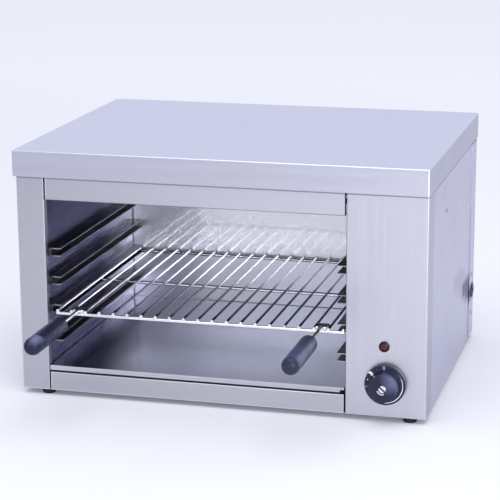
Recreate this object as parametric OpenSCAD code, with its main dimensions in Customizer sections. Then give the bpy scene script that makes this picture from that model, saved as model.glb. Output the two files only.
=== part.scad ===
// Cheese melter: a counter-top grill with an open cavity, a sliding wire rack and a crumb tray.
// X runs to the right, Y to the back and Z up. The origin lies on the counter, below the
// middle of the whole machine with its handles.

/* [Casing] */
// Width across the side panels
case_w = 597; // [560:1:680]
// Depth from the front panels to the rear panel
case_d = 450; // [430:1:500]
// Height from the underside of the casing to the top of the lid
case_h = 356; // [350:1:420]
// Thickness of the outer sheet
sheet = 1; // [0.8:0.1:1.5]
// Outer radius of the folds
fold_r = 2; // [1.8:0.1:4]
// Height of the lid's skirt
lid_skirt = 37.5; // [30:0.5:50]
// How far the lid stands out past each side
lid_side = 1.5; // [1.2:0.1:8]
// How far the lid stands out past the front
lid_front = 9.5; // [2:0.1:14]
// How far the lid stands out past the rear
lid_rear = 1.5; // [1.2:0.1:8]
// How far the front uprights wrap round onto the sides
side_return = 40; // [25:1:60]
// How far the rear panel wraps round onto the sides
rear_return = 45; // [32:1:60]
// Height of the upturned edges of the base plate
base_edge = 20; // [12:1:24]

/* [Front] */
// Width of the left upright
post_w = 42; // [30:1:60]
// Width of the control panel
panel_w = 114.5; // [96:0.5:140]
// How far the uprights turn back beside the opening
lip_return = 10; // [8:1:20]
// Height of the header below the lid
header_h = 34.5; // [26:0.5:40]
// Height of the sill under the crumb tray
sill_h = 27.5; // [26:0.5:40]
// Depth of the inward folds of the header and the sill
strip_return = 12; // [6:1:20]
// Open joint at each end of the header and the sill
strip_gap = 2; // [1:0.1:4]

/* [Cavity] */
// Thickness of the cavity's sheet
liner = 0.8; // [0.6:0.1:1.2]
// Width of the flanges on the cavity's walls
liner_flange = 14; // [10:1:18]
// Space between the cavity's back wall and the back of the casing
rear_space = 56.5; // [40:0.5:64]
// Space between the cavity's ceiling and the top of the lid
ceiling_space = 45; // [42:1:60]
// Thickness of the insulation above the ceiling
ceiling_wool = 25; // [15:1:30]
// Thickness of the insulation behind the back wall
rear_wool = 20; // [10:1:26]

/* [Runners and rack] */
// Height of a runner's channel
runner_h = 12; // [11:0.5:16]
// How far a runner reaches into the cavity
runner_reach = 16; // [10:0.5:20]
// Thickness of a runner's sheet
runner_sheet = 1; // [0.8:0.1:1.2]
// Distance from one runner to the next
runner_pitch = 42.3; // [36:0.1:48]
// Height of the lowest runner above the casing's underside
runner_low = 70.5; // [60:0.5:80]
// Distance from the casing's front to the runners' front ends
runner_inset = 16; // [15:1:30]
// Runner, counted from below, that carries the rack
rack_level = 2; // [1:1:4]
// Diameter of the three cross bars of the rack
bar_d = 5; // [4:0.1:5.5]
// Diameter of the long wires of the rack
wire_d = 3.6; // [2.5:0.1:4]
// Number of long wires
wire_count = 21; // [15:1:25]
// Distance from the casing's front to the front bar
bar_inset = 3; // [3:0.5:8]
// Gap between the rack and the webs of the left runners
rack_gap_left = 11; // [1:0.5:12]
// Gap between the rack and the webs of the right runners
rack_gap_right = 0.6; // [0.5:0.1:12]
// Gap between the rack and the cavity's back wall
rack_rear_gap = 5.5; // [1:0.5:10]
// Sink of the welds between wires and bars
weld = 0.4; // [0.2:0.1:0.6]

/* [Handles] */
// Diameter of the handle rods
rod_d = 5; // [4:0.1:6]
// Distance from the casing's front to the grips
grip_stand = 69; // [30:1:90]
// Length of a grip
grip_l = 116.5; // [100:0.5:150]
// Diameter of a grip near its outer end
grip_front_d = 25; // [22:0.5:32]
// Diameter of a grip near its inner end
grip_rear_d = 24.5; // [20:0.5:28]
// Wires between the side of the rack and a handle
handle_wires = 1; // [0:1:5]

/* [Crumb tray] */
// Thickness of the tray
tray_sheet = 1; // [0.8:0.1:1.5]
// Height of the tray's front lip
tray_lip = 7; // [5:0.5:12]
// Open gap between the tray's lip and the sill
tray_gap = 3; // [2:0.5:6]
// Gap between the tray and each side of the cavity
tray_side_gap = 1.5; // [0.5:0.1:3]
// Width of the rails that carry the tray
rail_w = 16; // [12:1:24]

/* [Heating] */
// Diameter of the heating rods
element_d = 8; // [6:0.1:8.5]
// Distance between neighbouring legs of the heating rods
element_pitch = 56; // [46:1:57]
// Distance from the casing's front to the first leg
element_inset = 50; // [40:1:60]
// Distance from the ceiling down to the rods
element_drop = 17; // [14:0.5:19]
// Distance between the rods' closed ends and the left wall
element_side_gap = 22; // [12:1:40]

/* [Controls] */
// Distance from the right side to the knob
knob_inset = 56.5; // [50:0.5:60]
// Height of the knob above the casing's underside
knob_z = 49; // [45:0.5:60]
// Diameter of the knob's skirt
knob_skirt_d = 58; // [44:1:60]
// Thickness of the knob's skirt
knob_skirt_h = 9; // [6:0.5:12]
// Diameter of the knob's raised body
knob_body_d = 42; // [32:1:46]
// Depth of the whole knob
knob_h = 28; // [22:0.5:34]
// Diameter of the slotted cap in the knob
cap_d = 11; // [8:0.5:14]
// Gap between the knob and the panel
knob_gap = 1.5; // [1.2:0.1:3]
// Diameter of the regulator's shaft
shaft_d = 6; // [5:0.1:6.5]
// Width and height of the regulator's body
regulator_w = 38; // [30:1:44]
// Depth of the regulator's body
regulator_l = 32; // [24:1:40]
// Distance from the right side to the pilot light
pilot_inset = 59.5; // [50:0.5:64]
// Height of the pilot light above the casing's underside
pilot_z = 102; // [100:1:140]
// Diameter of the pilot light's lens
pilot_d = 15; // [12:0.5:20]
// How far the lens stands out of the panel
pilot_proud = 4; // [2:0.5:8]

/* [Mains entry] */
// Diameter of the gland's flange
gland_d = 22; // [20:0.5:26]
// Bore of the gland
gland_bore = 9; // [7:0.5:10]
// How far the gland stands out of the side
gland_proud = 1.5; // [1.5:0.1:3]
// Distance from the casing's back to the gland's centre
gland_inset = 17; // [17:0.5:21]
// Height of the gland above the casing's underside
gland_z = 72; // [70:1:120]

/* [Feet] */
// Diameter of a foot
foot_d = 21; // [16:1:30]
// Height of a foot
foot_h = 8; // [6:1:20]
// Distance from the casing's left side to the left feet's centres
foot_left = 36; // [20:1:60]
// Distance from the casing's right side to the right feet's centres
foot_right = 24; // [20:1:60]
// Distance from the casing's front and back to the feet's centres
foot_end = 13; // [11:1:60]
// Diameter of the studs in the feet
stud_d = 5; // [4:0.5:6]

/* [Fits] */
// Gap between sheets that lie on each other
seam = 0.1; // [0.05:0.01:0.2]
// Gap between a sliding piece and what carries it
slide_gap = 0.3; // [0.2:0.05:0.5]
// Radial clearance of a shaft that turns
running_gap = 0.05; // [0.02:0.01:0.1]

/* [Hidden] */
$fn = 64;

steel = "#c4c6d2";
bright_steel = "#d3d5e0";
dark_steel = "#8b8e9e";
black_plastic = "#22222b";

// The casing's own box
side_x = case_w / 2;
front_y = grip_stand + grip_l - (grip_stand + grip_l + case_d + lid_rear) / 2;
back_y = front_y + case_d;
base_z = foot_h;
top_z = base_z + case_h;
// Top edge of every upright panel, under the lid
panel_top_z = top_z - sheet - 2 * seam;
// Outer faces of the side panels, which lie inside the wrapped edges
panel_x = side_x - sheet - seam;
// Outer edges of the base plate, inside the side panels and behind the front
base_x = panel_x - sheet - seam;
base_front_y = front_y + sheet + seam;
base_back_y = back_y - sheet - seam;
floor_z = base_z + sheet;

// The opening and the cavity behind it
open_left_x = post_w - side_x;
open_right_x = side_x - panel_w;
open_mid_x = (open_left_x + open_right_x) / 2;
open_w = open_right_x - open_left_x;
lip_end_y = front_y + lip_return;
wall_front_y = lip_end_y + seam;
cavity_back_y = back_y - rear_space;
ceiling_z = top_z - ceiling_space;
wall_low_z = floor_z + seam;
header_low_z = top_z - lid_skirt - header_h;

// The runners and the rack
rack_z = base_z + runner_low + (rack_level - 1) * runner_pitch;
bar_z = rack_z + runner_sheet + slide_gap + bar_d / 2;
bar_left_x = open_left_x + seam + runner_sheet + rack_gap_left;
bar_right_x = open_right_x - seam - runner_sheet - rack_gap_right;
front_bar_y = front_y + bar_inset;
rear_bar_y = cavity_back_y - rack_rear_gap - bar_d / 2;
wire_z = bar_z + bar_d / 2 + wire_d / 2 - weld;
wire_left_x = bar_left_x + wire_d / 2 + 0.5;
wire_right_x = bar_right_x - wire_d / 2 - 0.5;
wire_pitch = (wire_right_x - wire_left_x) / (wire_count - 1);

// The handles, whose short cross rods lie on the front bar between two wires
cross_l = wire_pitch - wire_d - 2 * slide_gap;
cross_z = bar_z + (bar_d + rod_d) / 2 - weld / 4;
handle_x = [
    wire_left_x + (handle_wires + 0.5) * wire_pitch,
    wire_right_x - (handle_wires + 0.5) * wire_pitch
];
grip_y = front_y - grip_stand;
tip_y = grip_y - grip_l;
rod_end_y = tip_y + 20;

// The crumb tray
tray_top_z = base_z + sill_h + tray_gap + tray_lip;
tray_low_z = tray_top_z - tray_sheet;
tray_back_y = cavity_back_y - 3;
rail_z = tray_low_z - slide_gap;
rail_front_y = wall_front_y + 2;

// The heating rods
element_z = ceiling_z - seam - element_drop;
element_bend_x = open_left_x + element_side_gap + element_d / 2 + element_pitch / 2;
element_end_x = open_right_x + 24;
hanger_sheet = 1.2;
hanger_flange = 14;
hanger_x = [open_left_x + open_w * 0.3, open_left_x + open_w * 0.8];

// The controls
knob_x = side_x - knob_inset;
pilot_x = side_x - pilot_inset;
knob_mid_z = base_z + knob_z;
pilot_mid_z = base_z + pilot_z;
knob_back_y = front_y - knob_gap;
knob_front_y = knob_back_y - knob_h;
bush_d = shaft_d + 2 * running_gap + 3.6;
bush_nut_h = 1;
regulator_y = front_y + sheet + seam;
shaft_front_y = knob_front_y + 8;
shaft_back_y = regulator_y + 10;

// The mains entry and the wiring
gland_y = back_y - gland_inset;
gland_mid_z = base_z + gland_z;
gland_neck_d = gland_d - 6;
wire_insulation_d = 3;
block_size = [32, 22, 18];
block_low = [knob_x - 12, gland_y - 60, floor_z + seam];

foot_x = [foot_left - side_x, side_x - foot_right];
foot_y = [front_y + foot_end, back_y - foot_end];

// Outline of half a grip: a blunt round nose, a slight taper and a round shoulder
nose_r = 10;
shoulder_r = 5;
grip_outline = concat(
    [[0, 0]],
    [for (a = [0 : 10 : 90]) [grip_front_d / 2 - nose_r + nose_r * sin(a), nose_r - nose_r * cos(a)]],
    [for (a = [90 : -15 : 0]) [
        grip_rear_d / 2 - shoulder_r + shoulder_r * sin(a),
        grip_l - shoulder_r + shoulder_r * cos(a)
    ]],
    [[0, grip_l]]
);

// Outline of half the knob, from its back plane at zero to its front
knob_bevel = 2.5;
knob_edge = 1.5;
knob_outline = [
    [0, 0],
    [knob_skirt_d / 2 - knob_edge, 0],
    [knob_skirt_d / 2, knob_edge],
    [knob_skirt_d / 2, knob_skirt_h - knob_bevel],
    [knob_skirt_d / 2 - knob_bevel, knob_skirt_h],
    [knob_body_d / 2 + 1, knob_skirt_h],
    [knob_body_d / 2, knob_skirt_h + 1],
    [knob_body_d / 2 - 1, knob_h - knob_bevel],
    [knob_body_d / 2 - 1 - knob_bevel, knob_h],
    [0, knob_h]
];
cap_h = 3;

// Slots in the rear panel that cool the space behind the control panel
vent_count = 9;
vent_l = 60;
vent_h = 4;
vent_pitch = 12;

// Blind rivets in the sides, and the stay behind one of them
rivet_d = 3.2;
rivet_head_d = 7;
rivet_head_h = 1.2;
rivet_dome_r = 6;
rivet_shank_l = 4;
rivet_y = back_y - rear_return / 2;
rivet_z = [base_z + 37, base_z + 100];
stay_y = front_y + 159;
stay_z = top_z - 93;
stay_w = 24;
stay_half_h = 14;
stay_sheet = 1.2;

// ---------------------------------------------------------------- shared shapes

// A box from its lowest to its highest corner
module block(low, high) {
    translate(low) cube(high - low);
}

// A rod between two points on one line along X
module rod_x(x0, x1, y, z, d) {
    translate([x0, y, z]) rotate([0, 90, 0]) cylinder(h = x1 - x0, d = d);
}

// A rod between two points on one line along Y
module rod_y(y0, y1, x, z, d) {
    translate([x, y1, z]) rotate([90, 0, 0]) cylinder(h = y1 - y0, d = d);
}

// A rod between two points on one line along Z
module rod_z(z0, z1, x, y, d) {
    translate([x, y, z0]) cylinder(h = z1 - z0, d = d);
}

// A rectangle with round corners
module round_rect(low, high, r) {
    translate([low.x + r, low.y]) square([high.x - low.x - 2 * r, high.y - low.y]);
    translate([low.x, low.y + r]) square([high.x - low.x, high.y - low.y - 2 * r]);
    for (x = [low.x + r, high.x - r]) {
        for (y = [low.y + r, high.y - r]) {
            translate([x, y]) circle(r);
        }
    }
}

// The wall of a sheet folded round a rectangle, seen along its folds
module folded_ring(low, high) {
    difference() {
        round_rect(low, high, fold_r);
        round_rect(low + [sheet, sheet], high - [sheet, sheet], fold_r - sheet);
    }
}

// Section of a front upright: its face, its long side return and its short lip
module upright_section(w) {
    intersection() {
        folded_ring([0, 0], [w, side_return + 3 * fold_r]);
        union() {
            square([w, lip_return]);
            square([w / 2, side_return]);
        }
    }
}

// Room for the base plate inside an upright or a wrapped panel
module base_room() {
    block(
        [-base_x - seam, base_front_y - seam, base_z - 1],
        [base_x + seam, base_back_y + seam, floor_z + seam]
    );
}

// A front upright of the given width on the left side of the casing
module upright(w) {
    difference() {
        translate([-side_x, front_y, base_z]) linear_extrude(panel_top_z - base_z) upright_section(w);
        base_room();
    }
}

// Section of a strip across the opening, folded back along its lower edge, as Y across and Z up
module strip_section(h) {
    intersection() {
        folded_ring([0, 0], [strip_return + 3 * fold_r, h + 3 * fold_r]);
        union() {
            square([strip_return, h / 2]);
            square([sheet, h]);
            square([fold_r, h]);
        }
    }
}

// A strip between the uprights, whose folded edge lies on the given height
module strip(z, h) {
    translate([open_left_x + strip_gap, front_y, z])
        rotate([90, 0, 90]) linear_extrude(open_w - 2 * strip_gap) strip_section(h);
}

// Solid form of the lid, drawn in by the given thickness
module lid_form(inset) {
    r = fold_r - inset;
    x = side_x + lid_side - inset;
    y0 = front_y - lid_front + inset;
    y1 = back_y + lid_rear - inset;
    z1 = top_z - inset;
    z0 = top_z - lid_skirt - (inset > 0 ? 1 : 0);
    translate([0, 0, z0]) linear_extrude(z1 - r - z0) round_rect([-x, y0], [x, y1], r);
    block([-x + r, y0 + r, z0], [x - r, y1 - r, z1]);
    for (y = [y0 + r, y1 - r]) {
        rod_x(-x + r, x - r, y, z1 - r, 2 * r);
        for (side = [-1, 1]) {
            translate([side * (x - r), y, z1 - r]) sphere(r);
        }
    }
    for (side = [-1, 1]) {
        rod_y(y0 + r, y1 - r, side * (x - r), z1 - r, 2 * r);
    }
}

// A flat tray of liner sheet that opens upwards, with a flange along each edge
module liner_pan(size, flange) {
    difference() {
        cube([size.x, size.y, flange]);
        translate([liner, liner, liner]) cube([size.x - 2 * liner, size.y - 2 * liner, flange]);
    }
}

// ---------------------------------------------------------------- casing

module top_cover() {
    color(bright_steel) difference() {
        lid_form(0);
        lid_form(sheet);
    }
}

module left_front_post() {
    color(steel) upright(post_w);
}

module control_panel() {
    color(steel) difference() {
        mirror([1, 0, 0]) upright(panel_w);
        rod_y(front_y - 1, front_y + sheet + 1, knob_x, knob_mid_z, bush_d + 0.4);
        rod_y(front_y - 1, front_y + sheet + 1, pilot_x, pilot_mid_z, pilot_d - 2);
    }
}

module header_panel() {
    color(bright_steel) strip(header_low_z, panel_top_z - header_low_z);
}

// The sill is the same strip with its folded edge on top
module sill_panel() {
    color(steel) translate([0, 0, 2 * base_z + sill_h]) mirror([0, 0, 1]) strip(base_z, sill_h);
}

module side_panel() {
    block(
        [-panel_x, front_y + fold_r + seam, base_z],
        [-panel_x + sheet, back_y - fold_r - seam, panel_top_z]
    );
}

module left_side_panel() {
    color(steel) difference() {
        side_panel();
        for (z = rivet_z) rivet_hole(-1, rivet_y, z);
    }
}

module right_side_panel() {
    color(steel) difference() {
        mirror([1, 0, 0]) side_panel();
        rod_x(panel_x - sheet - 1, panel_x + 1, gland_y, gland_mid_z, gland_neck_d);
        for (z = rivet_z) rivet_hole(1, rivet_y, z);
        rivet_hole(1, stay_y, stay_z);
    }
}

module rear_panel() {
    color(steel) difference() {
        translate([0, 0, base_z]) linear_extrude(panel_top_z - base_z) intersection() {
            folded_ring([-side_x, back_y - rear_return - 3 * fold_r], [side_x, back_y]);
            translate([-side_x, back_y - rear_return]) square([case_w, rear_return]);
        }
        base_room();
        for (i = [0 : vent_count - 1]) {
            z = pilot_mid_z + 40 + i * vent_pitch;
            block(
                [knob_x - vent_l / 2, back_y - sheet - 1, z],
                [knob_x + vent_l / 2, back_y + 1, z + vent_h]
            );
        }
        rod_x(side_x - sheet - 1, side_x + 1, gland_y, gland_mid_z, gland_neck_d);
        for (z = rivet_z) {
            rivet_hole(1, rivet_y, z);
            rivet_hole(-1, rivet_y, z);
        }
    }
}

module base_plate() {
    color(dark_steel) difference() {
        union() {
            block([-base_x, base_front_y, base_z], [base_x, base_back_y, floor_z]);
            for (side = [-1, 1]) {
                block(
                    [side > 0 ? base_x - sheet : -base_x, front_y + side_return, base_z],
                    [side > 0 ? base_x : -base_x + sheet, base_back_y, base_z + base_edge]
                );
            }
            block([-base_x, base_back_y - sheet, base_z], [base_x, base_back_y, base_z + base_edge]);
            block(
                [open_left_x + strip_gap, base_front_y, base_z],
                [open_right_x - strip_gap, base_front_y + sheet, base_z + base_edge]
            );
        }
        for (x = foot_x) {
            for (y = foot_y) {
                rod_z(base_z - 1, floor_z + 1, x, y, stud_d + 0.6);
            }
        }
    }
}

// ---------------------------------------------------------------- cavity

// Left wall of the cavity, whose flanges point away from the cavity
module side_liner() {
    translate([open_left_x, wall_front_y, wall_low_z])
        rotate([0, -90, 0])
        liner_pan([ceiling_z - seam - wall_low_z, cavity_back_y - wall_front_y], liner_flange);
}

// Room for the feet's nuts in the lowest flanges of the side walls
module stud_room(x) {
    for (y = foot_y) {
        rod_z(floor_z - 1, floor_z + 8, x, y, stud_d * 1.8 + 2);
    }
}

module left_cavity_wall() {
    color(dark_steel) difference() {
        side_liner();
        stud_room(foot_x[0]);
    }
}

module right_cavity_wall() {
    color(dark_steel) difference() {
        translate([2 * open_mid_x, 0, 0]) mirror([1, 0, 0]) side_liner();
        for (i = [0 : 5]) {
            rod_x(open_right_x - 1, open_right_x + liner + 1, leg_y(i), element_z, element_d + 0.6);
        }
        stud_room(foot_x[1]);
    }
}

module back_cavity_wall() {
    color(steel)
        translate([open_left_x - liner_flange, cavity_back_y + seam, ceiling_z - seam])
        rotate([-90, 0, 0])
        liner_pan([open_w + 2 * liner_flange, ceiling_z - seam - wall_low_z], liner_flange);
}

module cavity_ceiling() {
    color(dark_steel)
        translate([open_left_x - liner_flange, wall_front_y, ceiling_z])
        liner_pan(
            [open_w + 2 * liner_flange, cavity_back_y + seam + liner_flange - wall_front_y],
            liner_flange
        );
}

module left_insulation() {
    color("#d8d2b4") block(
        [-base_x + seam, wall_front_y + liner + seam, base_z + base_edge + seam],
        [open_left_x - liner - seam, cavity_back_y - liner - seam, ceiling_z - liner - 2 * seam]
    );
}

module rear_insulation() {
    inner = liner + seam;
    color("#d8d2b4") block(
        [open_left_x - liner_flange + inner, cavity_back_y + seam + inner, wall_low_z + inner],
        [
            open_right_x + liner_flange - inner,
            cavity_back_y + seam + inner + min(rear_wool, liner_flange + 12),
            ceiling_z - seam - inner
        ]
    );
}

module ceiling_insulation() {
    inner = liner + seam;
    color("#d8d2b4") block(
        [open_left_x - liner_flange + inner, wall_front_y + inner, ceiling_z + inner],
        [
            open_right_x + liner_flange - inner,
            cavity_back_y + seam + liner_flange - inner,
            ceiling_z + inner + ceiling_wool
        ]
    );
}

// ---------------------------------------------------------------- runners

// A channel on the left wall that opens towards the middle of the cavity
module runner(level) {
    z = base_z + runner_low + (level - 1) * runner_pitch;
    y0 = front_y + runner_inset;
    color(dark_steel) translate([open_left_x, 0, z]) difference() {
        block([seam, y0, 0], [runner_reach, cavity_back_y - seam, runner_h]);
        block(
            [runner_sheet + seam, y0 - 1, runner_sheet],
            [runner_reach + 1, cavity_back_y, runner_h - runner_sheet]
        );
    }
}

module right_runner(level) {
    translate([2 * open_mid_x, 0, 0]) mirror([1, 0, 0]) runner(level);
}

module left_runner_1() { runner(1); }
module left_runner_2() { runner(2); }
module left_runner_3() { runner(3); }
module left_runner_4() { runner(4); }
module right_runner_1() { right_runner(1); }
module right_runner_2() { right_runner(2); }
module right_runner_3() { right_runner(3); }
module right_runner_4() { right_runner(4); }

// ---------------------------------------------------------------- rack

module rack_grid() {
    color(bright_steel) {
        for (y = [front_bar_y, (front_bar_y + rear_bar_y) / 2, rear_bar_y]) {
            rod_x(bar_left_x, bar_right_x, y, bar_z, bar_d);
        }
        for (i = [0 : wire_count - 1]) {
            x = wire_left_x + i * wire_pitch;
            rod_y(front_bar_y - bar_d / 2, rear_bar_y + bar_d / 2, x, wire_z, wire_d);
        }
    }
}

module handle_rod(x) {
    color(bright_steel) {
        rod_x(x - cross_l / 2, x + cross_l / 2, front_bar_y, cross_z, rod_d);
        rod_y(rod_end_y, front_bar_y, x, cross_z, rod_d);
    }
}

module left_handle_rod() {
    handle_rod(handle_x[0]);
}

module right_handle_rod() {
    handle_rod(handle_x[1]);
}

module handle_grip(x) {
    color(black_plastic) difference() {
        translate([x, tip_y, cross_z]) rotate([-90, 0, 0]) rotate_extrude() polygon(grip_outline);
        rod_y(rod_end_y - 1, grip_y + 1, x, cross_z, rod_d + 2 * running_gap);
    }
}

module left_handle_grip() {
    handle_grip(handle_x[0]);
}

module right_handle_grip() {
    handle_grip(handle_x[1]);
}

// ---------------------------------------------------------------- crumb tray

module crumb_tray() {
    x0 = open_left_x + tray_side_gap;
    x1 = open_right_x - tray_side_gap;
    notch = 6;
    color(steel) difference() {
        union() {
            block([x0, front_y, tray_low_z], [x1, tray_back_y, tray_top_z]);
            block([x0, front_y, tray_top_z - tray_lip], [x1, front_y + tray_sheet, tray_top_z]);
            // Stiffening edge at the back, between the rails
            block(
                [x0 + rail_w + 2, tray_back_y - tray_sheet, tray_top_z - tray_lip],
                [x1 - rail_w - 2, tray_back_y, tray_top_z]
            );
        }
        // Small corner cut-out at the right end of the lip
        block(
            [x1 - notch, front_y - 1, tray_low_z - tray_lip],
            [x1 + 1, front_y + tray_sheet, tray_top_z - tray_lip / 2]
        );
    }
}

// An angle on the left wall whose upper leg carries the tray
module tray_rail() {
    color(dark_steel) translate([open_left_x, 0, 0]) {
        block([seam, rail_front_y, rail_z - rail_w], [seam + runner_sheet, cavity_back_y - seam, rail_z]);
        block([seam, rail_front_y, rail_z - runner_sheet], [rail_w, cavity_back_y - seam, rail_z]);
    }
}

module left_tray_rail() {
    tray_rail();
}

module right_tray_rail() {
    translate([2 * open_mid_x, 0, 0]) mirror([1, 0, 0]) tray_rail();
}

// ---------------------------------------------------------------- heating

// Distance of the legs from the front, counted from the first leg
function leg_y(i) = front_y + element_inset + i * element_pitch;

// A hairpin rod with its closed end on the left and its terminals behind the right wall
module heating_element(first_leg) {
    mid_y = (leg_y(first_leg) + leg_y(first_leg + 1)) / 2;
    pin_d = element_d / 2;
    color("#5b4a45") {
        for (i = [first_leg, first_leg + 1]) {
            rod_x(element_bend_x, element_end_x, leg_y(i), element_z, element_d);
            rod_x(element_end_x - 1, element_end_x + 12, leg_y(i), element_z, pin_d);
        }
        translate([element_bend_x, mid_y, element_z]) rotate([0, 0, 90])
            rotate_extrude(angle = 180) translate([element_pitch / 2, 0]) circle(d = element_d);
    }
}

module front_heating_element() {
    heating_element(0);
}

module middle_heating_element() {
    heating_element(2);
}

module rear_heating_element() {
    heating_element(4);
}

// Two strips that hang from the ceiling and hold the legs
module element_hangers() {
    color(dark_steel) for (x = hanger_x) {
        difference() {
            union() {
                block(
                    [x, leg_y(0) - element_d, element_z - element_d],
                    [x + hanger_sheet, leg_y(5) + element_d, ceiling_z - seam]
                );
                block(
                    [x, leg_y(0) - element_d, ceiling_z - seam - hanger_sheet],
                    [x + hanger_flange, leg_y(5) + element_d, ceiling_z - seam]
                );
            }
            for (i = [0 : 5]) {
                rod_x(x - 1, x + hanger_sheet + 1, leg_y(i), element_z, element_d + 0.6);
            }
        }
    }
}

// Threaded sleeves that clamp the legs behind the right wall
module element_fittings() {
    fitting_x = open_right_x + liner + seam;
    nut_h = element_d * 0.6;
    sleeve_l = element_d * 1.1;
    color("#b08d4a") for (i = [0 : 5]) {
        difference() {
            union() {
                translate([fitting_x, leg_y(i), element_z]) rotate([0, 90, 0])
                    cylinder(h = nut_h, d = element_d * 2, $fn = 6);
                rod_x(fitting_x, fitting_x + sleeve_l, leg_y(i), element_z, element_d * 1.5);
            }
            rod_x(fitting_x - 1, fitting_x + sleeve_l + 1, leg_y(i), element_z, element_d + 0.2);
        }
    }
}

// ---------------------------------------------------------------- controls

module knob() {
    color(black_plastic) difference() {
        translate([knob_x, knob_back_y, knob_mid_z])
            rotate([90, 0, 0]) rotate_extrude() polygon(knob_outline);
        rod_y(shaft_front_y - 0.5, front_y, knob_x, knob_mid_z, shaft_d + 2 * running_gap);
        // Room for the regulator's nut and bush
        rod_y(front_y - knob_gap - 4, front_y, knob_x, knob_mid_z, bush_d + 8);
        rod_y(knob_front_y - 1, knob_front_y + cap_h - 1, knob_x, knob_mid_z, cap_d + 2 * running_gap);
    }
}

module knob_cap() {
    y0 = knob_front_y - 1;
    color("#e8e8ee") difference() {
        rod_y(y0, y0 + cap_h - seam, knob_x, knob_mid_z, cap_d);
        block(
            [knob_x - cap_d, y0 - 1, knob_mid_z - 0.8],
            [knob_x + cap_d, y0 + 1.2, knob_mid_z + 0.8]
        );
    }
}

module regulator_shaft() {
    color(bright_steel) rod_y(shaft_front_y, shaft_back_y, knob_x, knob_mid_z, shaft_d);
}

module regulator_body() {
    half = regulator_w / 2;
    bush_front_y = front_y - bush_nut_h - seam;
    color("#3a3026") difference() {
        union() {
            block(
                [knob_x - half, regulator_y, knob_mid_z - half],
                [knob_x + half, regulator_y + regulator_l, knob_mid_z + half]
            );
            rod_y(bush_front_y, regulator_y + 1, knob_x, knob_mid_z, bush_d);
            // Spade terminals
            for (dx = [-10, 0, 10]) {
                block(
                    [knob_x + dx - 3, regulator_y + regulator_l - 1, knob_mid_z + 4],
                    [knob_x + dx + 3, regulator_y + regulator_l + 8, knob_mid_z + 4.8]
                );
            }
        }
        rod_y(bush_front_y - 1, shaft_back_y + 1, knob_x, knob_mid_z, shaft_d + 2 * running_gap);
    }
}

module regulator_nut() {
    color("#b08d4a") difference() {
        translate([knob_x, front_y - seam, knob_mid_z]) rotate([90, 0, 0])
            cylinder(h = bush_nut_h, d = bush_d + 6, $fn = 6);
        rod_y(front_y - bush_nut_h - 1, front_y, knob_x, knob_mid_z, bush_d + 0.1);
    }
}

// A low round lens with a bevelled rim
module pilot_lens() {
    outline = [
        [0, 0],
        [pilot_d / 2, 0],
        [pilot_d / 2, pilot_proud * 0.5],
        [pilot_d / 2 - 1, pilot_proud * 0.85],
        [pilot_d / 2 - 2.5, pilot_proud],
        [0, pilot_proud]
    ];
    color("#5e1420") translate([pilot_x, front_y - seam, pilot_mid_z])
        rotate([90, 0, 0]) rotate_extrude() polygon(outline);
}

module pilot_holder() {
    neck_d = pilot_d - 2.4;
    color("#e3e0d6") {
        rod_y(front_y, front_y + 24, pilot_x, pilot_mid_z, neck_d);
        difference() {
            rod_y(front_y + sheet + seam, front_y + sheet + 3, pilot_x, pilot_mid_z, pilot_d + 3);
            rod_y(front_y, front_y + sheet + 4, pilot_x, pilot_mid_z, neck_d - 1);
        }
        for (dx = [-3, 3]) {
            block(
                [pilot_x + dx - 1.5, front_y + 23, pilot_mid_z - 0.4],
                [pilot_x + dx + 1.5, front_y + 30, pilot_mid_z + 0.4]
            );
        }
    }
}

module terminal_block() {
    color("#ded9c8") difference() {
        block(block_low, block_low + block_size);
        for (i = [0 : 2]) {
            rod_z(
                block_low.z + 6, block_low.z + block_size.z + 1,
                block_low.x + 6 + i * 10, block_low.y + block_size.y / 2, 4
            );
        }
    }
}

// ---------------------------------------------------------------- mains entry

module mains_gland() {
    inner_x = panel_x - sheet - 10;
    color(black_plastic) difference() {
        union() {
            rod_x(side_x + seam, side_x + gland_proud, gland_y, gland_mid_z, gland_d);
            rod_x(inner_x, side_x + gland_proud / 2, gland_y, gland_mid_z, gland_neck_d - 0.4);
        }
        rod_x(inner_x - 1, side_x + gland_proud + 1, gland_y, gland_mid_z, gland_bore);
    }
}

module gland_locknut() {
    nut_x = panel_x - sheet - seam - 4;
    color(black_plastic) difference() {
        translate([nut_x, gland_y, gland_mid_z]) rotate([0, 90, 0])
            cylinder(h = 4, d = gland_neck_d + 9, $fn = 6);
        rod_x(nut_x - 1, nut_x + 5, gland_y, gland_mid_z, gland_neck_d);
    }
}

// A wire of straight runs with round corners through the given points
module wire(points) {
    for (i = [0 : len(points) - 2]) {
        a = points[i];
        b = points[i + 1];
        run = b - a;
        l = norm(run);
        translate(a) rotate([0, acos(run.z / l), atan2(run.y, run.x)])
            cylinder(h = l, d = wire_insulation_d);
    }
    for (i = [1 : len(points) - 2]) {
        translate(points[i]) sphere(d = wire_insulation_d);
    }
}

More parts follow.
